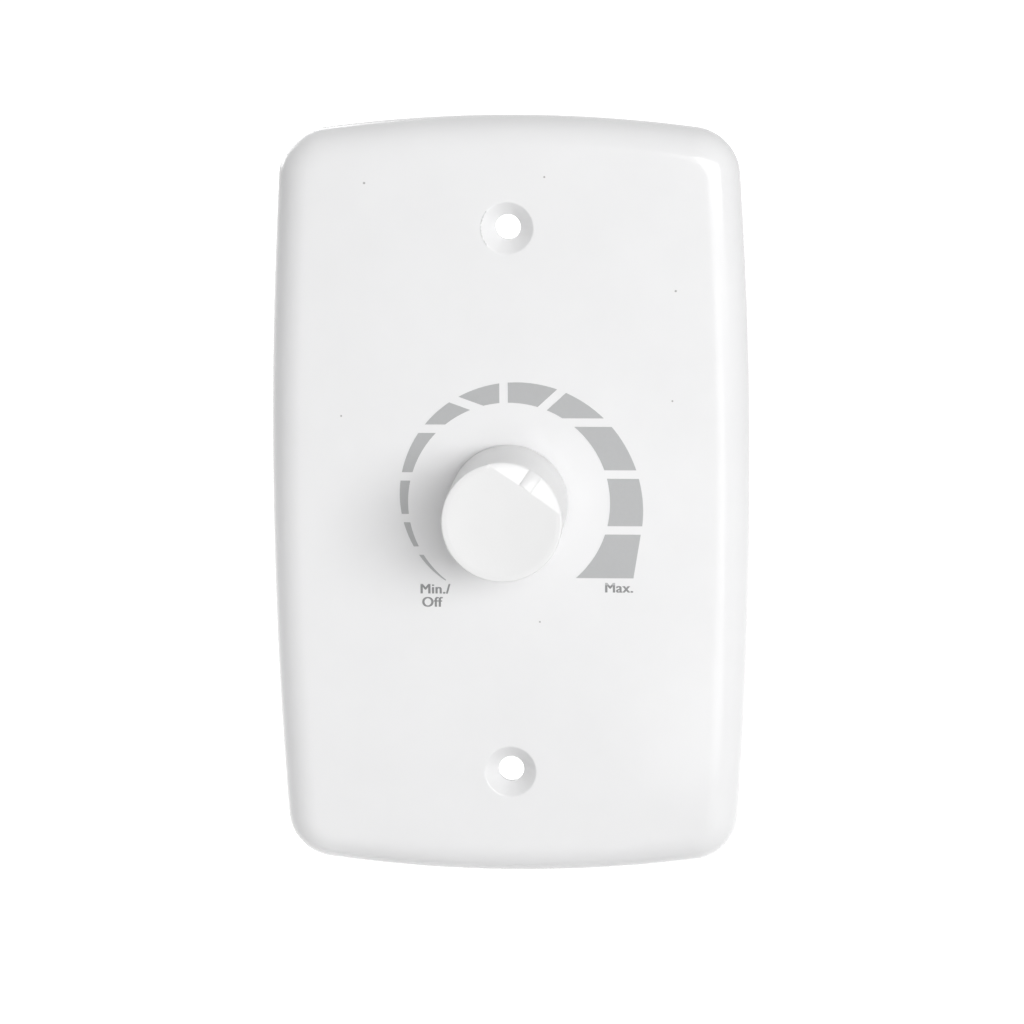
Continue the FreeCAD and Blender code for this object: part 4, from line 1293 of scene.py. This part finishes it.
    def _boss(self, solid: Solid, ceiling: float) -> None:
        """Adds the boss with its D bore, and the webs that join it to the wall.

        Args:
            solid: The knob.
            ceiling: Depth of the knob's inner face.
        """
        outer = ring_points(self.boss_r, 0.0)
        bore = [Vector((p.x, 0.0, max(p.z, self.bore_flat_z))) for p in ring_points(self.bore_r, 0.0)]
        walls = ((ceiling - 0.2, outer), (self.boss_y, outer), (self.boss_y, bore), (self.bore_tip_y, bore))
        solid.cap(*solid.loft([Vector((p.x, y, p.z)) for p in ring] for y, ring in walls))
        for i in range(self.web_count):
            web = Solid()
            low = (-self.web / 2, ceiling - 0.2, self.boss_r - 0.3)
            web.block(low, (self.web / 2, self.boss_y - 1.5, self.radius - self.wall + 0.3), 0.1)
            turn = Matrix.Rotation(TURN * (i + 0.5) / self.web_count, 4, "Y")
            solid.take((turn @ p for p in web.points), web.faces)


@dataclass
class Thread:
    """Helical ridge of a screw thread along Y, at one or more places."""

    radius: float
    pitch: float
    low_y: float
    high_y: float
    ridge: float = 0.16

    def build(self, name: str, body: Body, slot: str, places: Sequence[Flat]) -> None:
        """Grows the ridge at every place.

        Args:
            name: The piece's name.
            body: The body it rides on.
            slot: The record's material slot.
            places: The screws' axes.
        """
        length = self.high_y - self.low_y
        bench = GeometryBench("thread", {
            "Radius": self.radius * MM,
            "Length": length * MM,
            "Turns": length / self.pitch,
            "Ridge": self.ridge * MM,
        })
        spiral = bench.node("GeometryNodeCurveSpiral", {
            "Resolution": 28,
            "Rotations": bench.given("Turns"),
            "Start Radius": bench.given("Radius"),
            "End Radius": bench.given("Radius"),
            "Height": bench.given("Length"),
        })
        grown = bench.on_places(bench.tube(spiral, bench.given("Ridge")), -QUARTER)
        bench.piece(name, grown, [(x, self.low_y, z) for x, z in places], body, slot)


def threads() -> None:
    """Grows the threads of the bushing, the clamp screws and the housing screws."""
    Thread(3.42, 0.75, -9.3, -5.8).build("bushing_thread", Body.WALL, "die_cast_zinc", [(0.0, 0.0)])
    for side, body, x in (("left", Body.SCREW_LEFT, -4.5), ("right", Body.SCREW_RIGHT, 4.5)):
        Thread(1.36, 0.5, 18.0, 22.3, 0.13).build(f"clamp_thread_{side}", body, "plated_steel", [(x, -22.85)])
    places = four(FacePlate.boss_at)
    Thread(1.15, 1.0, -2.0, 1.4, 0.14).build("housing_threads", Body.WALL, "plated_steel", places)


@dataclass
class ChokeWinding:
    """Wire wound round the ring core in one run, with its two ends down to the board."""

    centre: Flat = (-10.5, 1.25)
    core_low_y: float = 13.35
    core_high_y: float = 19.35
    inner_r: float = 4.0
    outer_r: float = 7.5
    wire: float = 0.78
    turns: int = 21
    turn_points: int = 32
    open_deg: float = 74.0
    corner: float = 0.38
    stub_y: float = 8.4

    def build(self) -> bpy.types.Object:
        """Winds the wire and stands it for its CAD node.

        Returns:
            The piece.
        """
        half, middle_y = self.wire / 2, (self.core_low_y + self.core_high_y) / 2
        bench = GeometryBench("winding", {
            "Turns": self.turns,
            "Mean Radius": (self.inner_r + self.outer_r) / 2 * MM,
            "Radial Half": ((self.outer_r - self.inner_r) / 2 + half) * MM,
            "Axial Half": ((self.core_high_y - self.core_low_y) / 2 + half) * MM,
            "Wire Radius": half * MM,
        })
        line = bench.node("GeometryNodeCurvePrimitiveLine")
        samples = {"Curve": line, "Count": self.turns * self.turn_points + 1}
        run = bench.node("GeometryNodeResampleCurve", samples)
        share = bench.node("GeometryNodeSplineParameter")
        angle = share * bench.given("Turns") * TURN
        gap = math.radians(self.open_deg)
        around = share * (TURN - gap) + (QUARTER + gap / 2)
        radial = self._squared(angle.cosine()) * bench.given("Radial Half") + bench.given("Mean Radius")
        axial = self._squared(angle.sine()) * bench.given("Axial Half")
        place = bench.vector(radial * around.cosine(), axial, radial * around.sine())
        wound = bench.node("GeometryNodeSetPosition", {"Geometry": run, "Position": place})
        parts = [bench.tube(wound, bench.given("Wire Radius"))]
        out_r, low = (self.outer_r + half) * MM, (self.stub_y - middle_y) * MM
        for side in (-1, 1):
            x, z = side * out_r * math.sin(gap / 2), out_r * math.cos(gap / 2)
            lead = bench.node("GeometryNodeCurvePrimitiveLine", {"Start": (x, low, z), "End": (x, 0.0, z)})
            parts.append(bench.tube(lead, bench.given("Wire Radius"), 12))
        coil = bench.on_places(bench.join(parts))
        middle = (self.centre[0], middle_y, self.centre[1])
        piece = bench.piece("choke_turns", coil, [middle], Body.WALL, "enamelled_copper")
        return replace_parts(piece, "choke_winding")

    def _squared(self, wave: Signal) -> Signal:
        """A sine or cosine made steeper, so that each turn hugs the core's square section."""
        return wave.sign() * abs(wave).power(self.corner)


@dataclass
class SolderJoints:
    """Solder fillets round every lead on both faces of the board."""

    front_y: float = 9.55
    rear_y: float = 11.15
    height: float = 0.95
    foot: float = 0.55
    largest: float = 2.6

    def build(self, board: bpy.types.Object) -> None:
        """Grows one fillet for each small hole of the board.

        Args:
            board: The board's CAD node.
        """
        small = [hole for hole in self._holes(board) if hole[2] < self.largest]
        hole_r = sum(hole[2] for hole in small) / len(small) / 2
        for name, y, tilt in (("front", self.front_y, -QUARTER), ("rear", self.rear_y, QUARTER)):
            bench = GeometryBench(f"solder_{name}", {
                "Foot Radius": (hole_r + self.foot) * MM,
                "Tip Radius": (hole_r + 0.02) * MM,
                "Height": self.height * MM,
            })
            foot, height = bench.given("Foot Radius"), bench.given("Height")
            inward = bench.given("Tip Radius") - foot
            profile = bench.node("GeometryNodeCurveQuadraticBezier", {
                "Resolution": 8,
                "Start": (0.0, 0.0, 0.0),
                "Middle": bench.vector(inward * 0.85, height * 0.15, 0.0),
                "End": bench.vector(inward, height, 0.0),
            })
            grown = bench.on_places(bench.sweep(bench.circle(foot, 24), profile), tilt)
            places = [(x, y, z) for x, z, _ in small]
            bench.piece(f"solder_joints_{name}", grown, places, Body.WALL, "tinned_brass")

    def _holes(self, board: bpy.types.Object) -> list[tuple[float, float, float]]:
        """Finds the holes in the board's front face.

        Args:
            board: The board's CAD node.

        Returns:
            Each hole's centre and width, in millimetres.
        """
        bm = bmesh.new()
        bm.from_mesh(board.data)
        bm.transform(board.matrix_world)
        bmesh.ops.remove_doubles(bm, verts=bm.verts, dist=WELD)
        level = self.front_y * MM
        rims = {
            edge for edge in bm.edges
            if all(abs(vert.co.y - level) < 0.01 * MM for vert in edge.verts)
            and edge.is_manifold
            and sum(abs(face.normal.y) for face in edge.link_faces) < 1.5
        }
        holes = []
        while rims:
            stack, points = [rims.pop()], []
            while stack:
                for vert in stack.pop().verts:
                    points.append(vert.co / MM)
                    near = [edge for edge in vert.link_edges if edge in rims]
                    rims.difference_update(near)
                    stack += near
            xs, zs = [p.x for p in points], [p.z for p in points]
            width = max(max(xs) - min(xs), max(zs) - min(zs))
            holes.append(((max(xs) + min(xs)) / 2, (max(zs) + min(zs)) / 2, width))
        bm.free()
        return sorted(holes)


@dataclass
class HousingScrews:
    """Pan-head screws with a cross recess that hold the rear housing."""

    place: Flat = FacePlate.boss_at
    shank_r: float = 1.2
    tip_y: float = -2.35
    seat_y: float = 3.5
    head_r: float = 2.5
    head: float = 1.7
    recess_r: float = 1.25
    recess_half: float = 0.36
    recess_depth: float = 0.95

    def build(self) -> bpy.types.Object:
        """Builds the four screws and stands them for their CAD node.

        Returns:
            The piece.
        """
        solid = Solid()
        for at in four(self.place):
            self._screw(solid, at)
        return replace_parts(solid.piece("housing_screw_set", Body.WALL, "plated_steel", 35.0), "housing_screws")

    def _screw(self, solid: Solid, at: Flat) -> None:
        """Adds one screw, from its tip to its recess.

        Args:
            solid: The four screws.
            at: The screw's axis.
        """
        top = self.seat_y + self.head
        profile = [
            (0.3, self.tip_y),
            (self.shank_r, self.tip_y + 1.1),
            (self.shank_r, self.seat_y),
            (self.head_r, self.seat_y),
            (self.head_r, self.seat_y + 0.75),
            (self.head_r * 0.72, top - 0.12),
            (self.recess_r + 0.25, top),
        ]
        rings = [ring_points(r, y, at) for r, y in eased(profile, {3: 0.15, 4: 0.5, 5: 0.35})]
        for arm, half, depth in ((1.0, 1.0, 0.0), (0.93, 0.9, 0.12), (0.5, 0.8, self.recess_depth)):
            rings.append(self._cross(at, self.recess_r * arm, self.recess_half * half, top - depth))
        solid.cap(*solid.loft(rings))

    @staticmethod
    def _cross(at: Flat, arm: float, half: float, y: float) -> list[Vector]:
        """Draws a cross whose points lie in the directions of a full ring's.

        Args:
            at: Its middle.
            arm: Length of each arm.
            half: Half the arms' width.
            y: Its depth.

        Returns:
            Its points.
        """
        points = []
        for way in ring_points(1.0, 0.0):
            angle = math.atan2(way.z, way.x)
            folded = abs((angle + QUARTER / 2) % QUARTER - QUARTER / 2)
            reach = arm / math.cos(folded) if math.tan(folded) * arm <= half else half / math.sin(folded)
            points.append(Vector((at[0] + reach * way.x, y, at[1] + reach * way.z)))
        return points


@dataclass
class HousingMarks:
    """Raised marks and ejector pin rings moulded into the housing's rear."""

    rear_y: float = 27.6
    height: float = 0.2
    words: tuple[tuple[str, float, float, float], ...] = (
        ("LINE", -4.5, -19.2, 1.8),
        ("LOAD", 4.5, -19.2, 1.8),
        ("SPEED CONTROL", 0.0, 8.4, 2.4),
        ("FOR CEILING FAN", 0.0, 4.4, 2.0),
    )
    pins: tuple[Flat, ...] = ((-17.5, 23.5), (17.5, 23.5), (-17.5, -5.0), (17.5, -5.0))
    pin_r: float = 1.9
    bead_r: float = 0.07

    def build(self) -> None:
        """Builds the words in relief and the rings left by the ejector pins."""
        for number, (text, x, z, size) in enumerate(self.words):
            solid = Solid()
            solid.word(text, size, self.height, (x, self.rear_y, z), front=False)
            solid.piece(f"housing_mark_{number}", Body.WALL, "housing_plastic", 30.0)
        bench = GeometryBench("pin_rings", {"Ring Radius": self.pin_r * MM, "Bead": self.bead_r * MM})
        ring = bench.tube(bench.circle(bench.given("Ring Radius"), 40), bench.given("Bead"))
        places = [(x, self.rear_y, z) for x, z in self.pins]
        bench.piece("housing_pin_rings", bench.on_places(ring, QUARTER), places, Body.WALL, "housing_plastic")


@dataclass
class Carried:
    """CAD nodes that keep their shape and take their finish."""

    slots: dict[str, str]
    softened: dict[str, float]

    def dress(self, nodes: dict[str, bpy.types.Object]) -> None:
        """Gives each shown CAD node its material, or a copy with eased edges in its place.

        Args:
            nodes: The CAD nodes by name.
        """
        for name, node in nodes.items():
            if node.hide_render:
                continue
            slot = self.slots[name]
            if name in self.softened:
                self._soften(name, node, slot)
                continue
            node.data.materials.clear()
            node.data.materials.append(Finishes.get(slot))
            LOG.info("finished %s as %s", name, slot)

    def _soften(self, name: str, node: bpy.types.Object, slot: str) -> None:
        """Makes a merged copy with eased edges and stands it for its CAD node.

        Args:
            name: The node's name.
            node: The node.
            slot: The record's material slot.
        """
        mesh = node.data.copy()
        with edited(mesh) as bm:
            bmesh.ops.remove_doubles(bm, verts=bm.verts, dist=WELD)
            bmesh.ops.dissolve_limit(bm, angle_limit=math.radians(1.0), verts=bm.verts, edges=bm.edges)
        holder = placed("eased", mesh)
        bevel = holder.modifiers.new("ease", "BEVEL")
        bevel.width = self.softened[name] * MM
        bevel.segments = 2
        bevel.limit_method = "ANGLE"
        bevel.angle_limit = math.radians(35.0)
        piece = finished(baked(holder), f"{name}_eased", Body(node["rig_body"]), slot, 50.0)
        self._weigh(piece.data)
        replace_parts(piece, name)

    @staticmethod
    def _weigh(mesh: bpy.types.Mesh) -> None:
        """Keeps large faces flat beside their eased edges.

        Args:
            mesh: The mesh whose normals are weighted.
        """
        holder = placed("weighted", mesh)
        holder.modifiers.new("weight", "WEIGHTED_NORMAL").keep_sharp = True
        result = baked(holder)
        mesh.normals_split_custom_set([tuple(corner.vector) for corner in result.corner_normals])
        bpy.data.meshes.remove(result)


@dataclass
class Studio:
    """Floor, light and camera."""

    camera_at: Point = (41.21, -646.43, 109.34)
    azimuth_deg: float = 3.639
    tilt_deg: float = 9.785
    roll_deg: float = -0.367
    lens: float = 151.53
    floor_z: float = -58.25
    floor_half: float = 3.0
    ambient: float = 0.42

    def camera(self) -> None:
        """Puts the camera at the photograph's viewing angle."""
        data = bpy.data.cameras.new("view")
        data.lens = self.lens
        data.sensor_width = 36.0
        data.clip_start = 0.05
        data.clip_end = 20.0
        camera = placed("view", data)
        turns = ((self.azimuth_deg, "Z"), (90.0 - self.tilt_deg, "X"), (self.roll_deg, "Z"))
        place = Matrix.Translation(Vector(self.camera_at) * MM)
        for degrees, axis in turns:
            place = place @ Matrix.Rotation(math.radians(degrees), 4, axis)
        camera.matrix_world = place
        bpy.context.scene.camera = camera

    @staticmethod
    def _seen(bench: Bench) -> Signal:
        """1 for camera, glossy and transmission rays, else 0."""
        camera = bench.node("ShaderNodeLightPath", out="Is Camera Ray")
        return camera.maximum(camera.of("Is Glossy Ray")).maximum(camera.of("Is Transmission Ray"))

    @staticmethod
    def _sheet(bench: ShaderBench, corners: Sequence[Flat], z: float) -> bpy.types.Object:
        """Puts a flat sheet in the scene, in a bench's material and name.

        Args:
            bench: The material's bench.
            corners: The sheet's corners in metres.
            z: Its height in millimetres.

        Returns:
            The sheet.
        """
        name = bench.material.name
        mesh = bpy.data.meshes.new(name)
        mesh.from_pydata([(x, y, z * MM) for x, y in corners], [], [(0, 1, 2, 3)])
        mesh.materials.append(bench.material)
        sheet = placed(name, mesh)
        return sheet

    def floor(self) -> None:
        """Pale floor that keeps the object's shadow, with a painted glow that camera rays and reflections see,
        brightest close to the object.
        """
        bench = ShaderBench("floor")
        glow = self._seen(bench)
        reach = bench.node("ShaderNodeVectorMath", {0: bench.place()}, "Value", operation="LENGTH")
        # painted glow pool: emission fading from white near the object to grey far off, seen in the object's
        # reflections
        painted_glow_pool = bench.mix(reach.ramp(0.15, 0.7), WHITE, (0.5, 0.5, 0.5))
        bench.set(Base_Color=(0.6, 0.6, 0.6), Roughness=0.9, Specular_IOR_Level=0.0)
        bench.set(Emission_Color=bench.mix(glow, BLACK, painted_glow_pool), Emission_Strength=1.7)
        half = self.floor_half
        self._sheet(bench, ((-half, -half), (half, -half), (half, half), (-half, half)), self.floor_z)

    def card(self, name: str, corners: Sequence[Flat], strength: float) -> None:
        """Bright card on the floor that only reflections see.

        Args:
            name: Its name.
            corners: Its corners in metres.
            strength: How bright it is.
        """
        bench = ShaderBench(name)
        bench.set(Base_Color=BLACK, Emission_Color=WHITE, Emission_Strength=strength)
        card = self._sheet(bench, corners, self.floor_z + 1.0)
        card.visible_camera = card.visible_diffuse = card.visible_shadow = False

    def world(self) -> None:
        """White to the camera and in reflections, and a plain soft fill for everything else."""
        world = bpy.data.worlds.new("studio")
        bpy.context.scene.world = world
        world.use_nodes = True
        bench = Bench(world.node_tree)
        inputs = bench.tree.nodes["Background"].inputs
        bench.put(inputs["Color"], WHITE)
        bench.put(inputs["Strength"], self._seen(bench) * (1.0 - self.ambient) + self.ambient)

    @staticmethod
    def lamp(name: str, at: Point, size: Flat, power: float) -> None:
        """Soft rectangular lamp that faces the plate's middle.

        Args:
            name: Its name.
            at: Its place in metres.
            size: Its width and height in metres.
            power: Its power in watts.
        """
        data = bpy.data.lights.new(name, "AREA")
        data.shape = "RECTANGLE"
        data.size, data.size_y = size
        data.energy = power
        lamp = placed(name, data)
        lamp.visible_camera = False
        lamp.location = at
        lamp.rotation_mode = "QUATERNION"
        lamp.rotation_quaternion = (-Vector(at)).to_track_quat("-Z", "Y")

    def build(self) -> None:
        """Builds the studio: a wide key from the right, a lamp for the back and a low card for the bright edge."""
        self.camera()
        self.floor()
        self.world()
        self.lamp("key", (0.5, -0.97, 0.2), (0.9, 0.42), 8.3)
        self.lamp("back", (-0.7, 1.0, 0.5), (1.0, 0.8), 9.0)
        self.card("low_card", ((0.018, -0.06), (0.07, -0.8), (0.42, -0.8), (0.08, -0.06)), 3.2)
        bpy.context.scene.view_settings.view_transform = "Standard"


SLOT_NODES = {
    "scale_ink": "speed_scale_print",
    "spring_steel": "knob_spring_clip lock_washer shaft_ring",
    "plated_steel": "mounting_nut pot_cover triac_screw triac_nut"
    " terminal_cage_left terminal_cage_right terminal_screw_left terminal_screw_right",
    "die_cast_zinc": "pot_bushing",
    "shaft_aluminium": "pot_shaft",
    "sink_aluminium": "heat_sink",
    "phenolic": "pot_rotor pot_track pot_switch",
    "contact_brass": "pot_wiper terminal_strips",
    "tinned_brass": "pot_terminals switch_terminals triac_leadframe",
    "board_laminate": "circuit_board",
    "component_black": "triac_body",
    "film_capacitor": "timing_capacitor",
    "box_capacitor": "filter_capacitor",
    "ferrite": "choke_core",
    "resistor_coat": "resistors",
    "diode_glass_blue": "trigger_diode",
    "fuse_body": "safety_fuse",
    "block_plastic": "terminal_block",
    "housing_plastic": "rear_housing",
}

EASED_NODES = {
    "rear_housing": 0.3,
    "terminal_block": 0.2,
    "terminal_screw_left": 0.1,
    "terminal_screw_right": 0.1,
    "terminal_cage_left": 0.1,
    "terminal_cage_right": 0.1,
    "circuit_board": 0.05,
    "heat_sink": 0.12,
}


def main() -> None:
    """Builds the dressed part."""
    logging.basicConfig(level=logging.INFO, format="%(name)s: %(message)s")
    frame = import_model()
    Studio().build()
    FacePlate().shell()
    SpeedScale().lettering()
    Knob().cap()
    threads()
    HousingScrews().build()
    HousingMarks().build()
    ChokeWinding().build()
    SolderJoints().build(frame["nodes"]["circuit_board"])
    slots = {name: slot for slot, names in SLOT_NODES.items() for name in names.split()}
    Carried(slots, EASED_NODES).dress(frame["nodes"])
    bpy.context.view_layer.update()


if __name__ == "__main__":
    main()
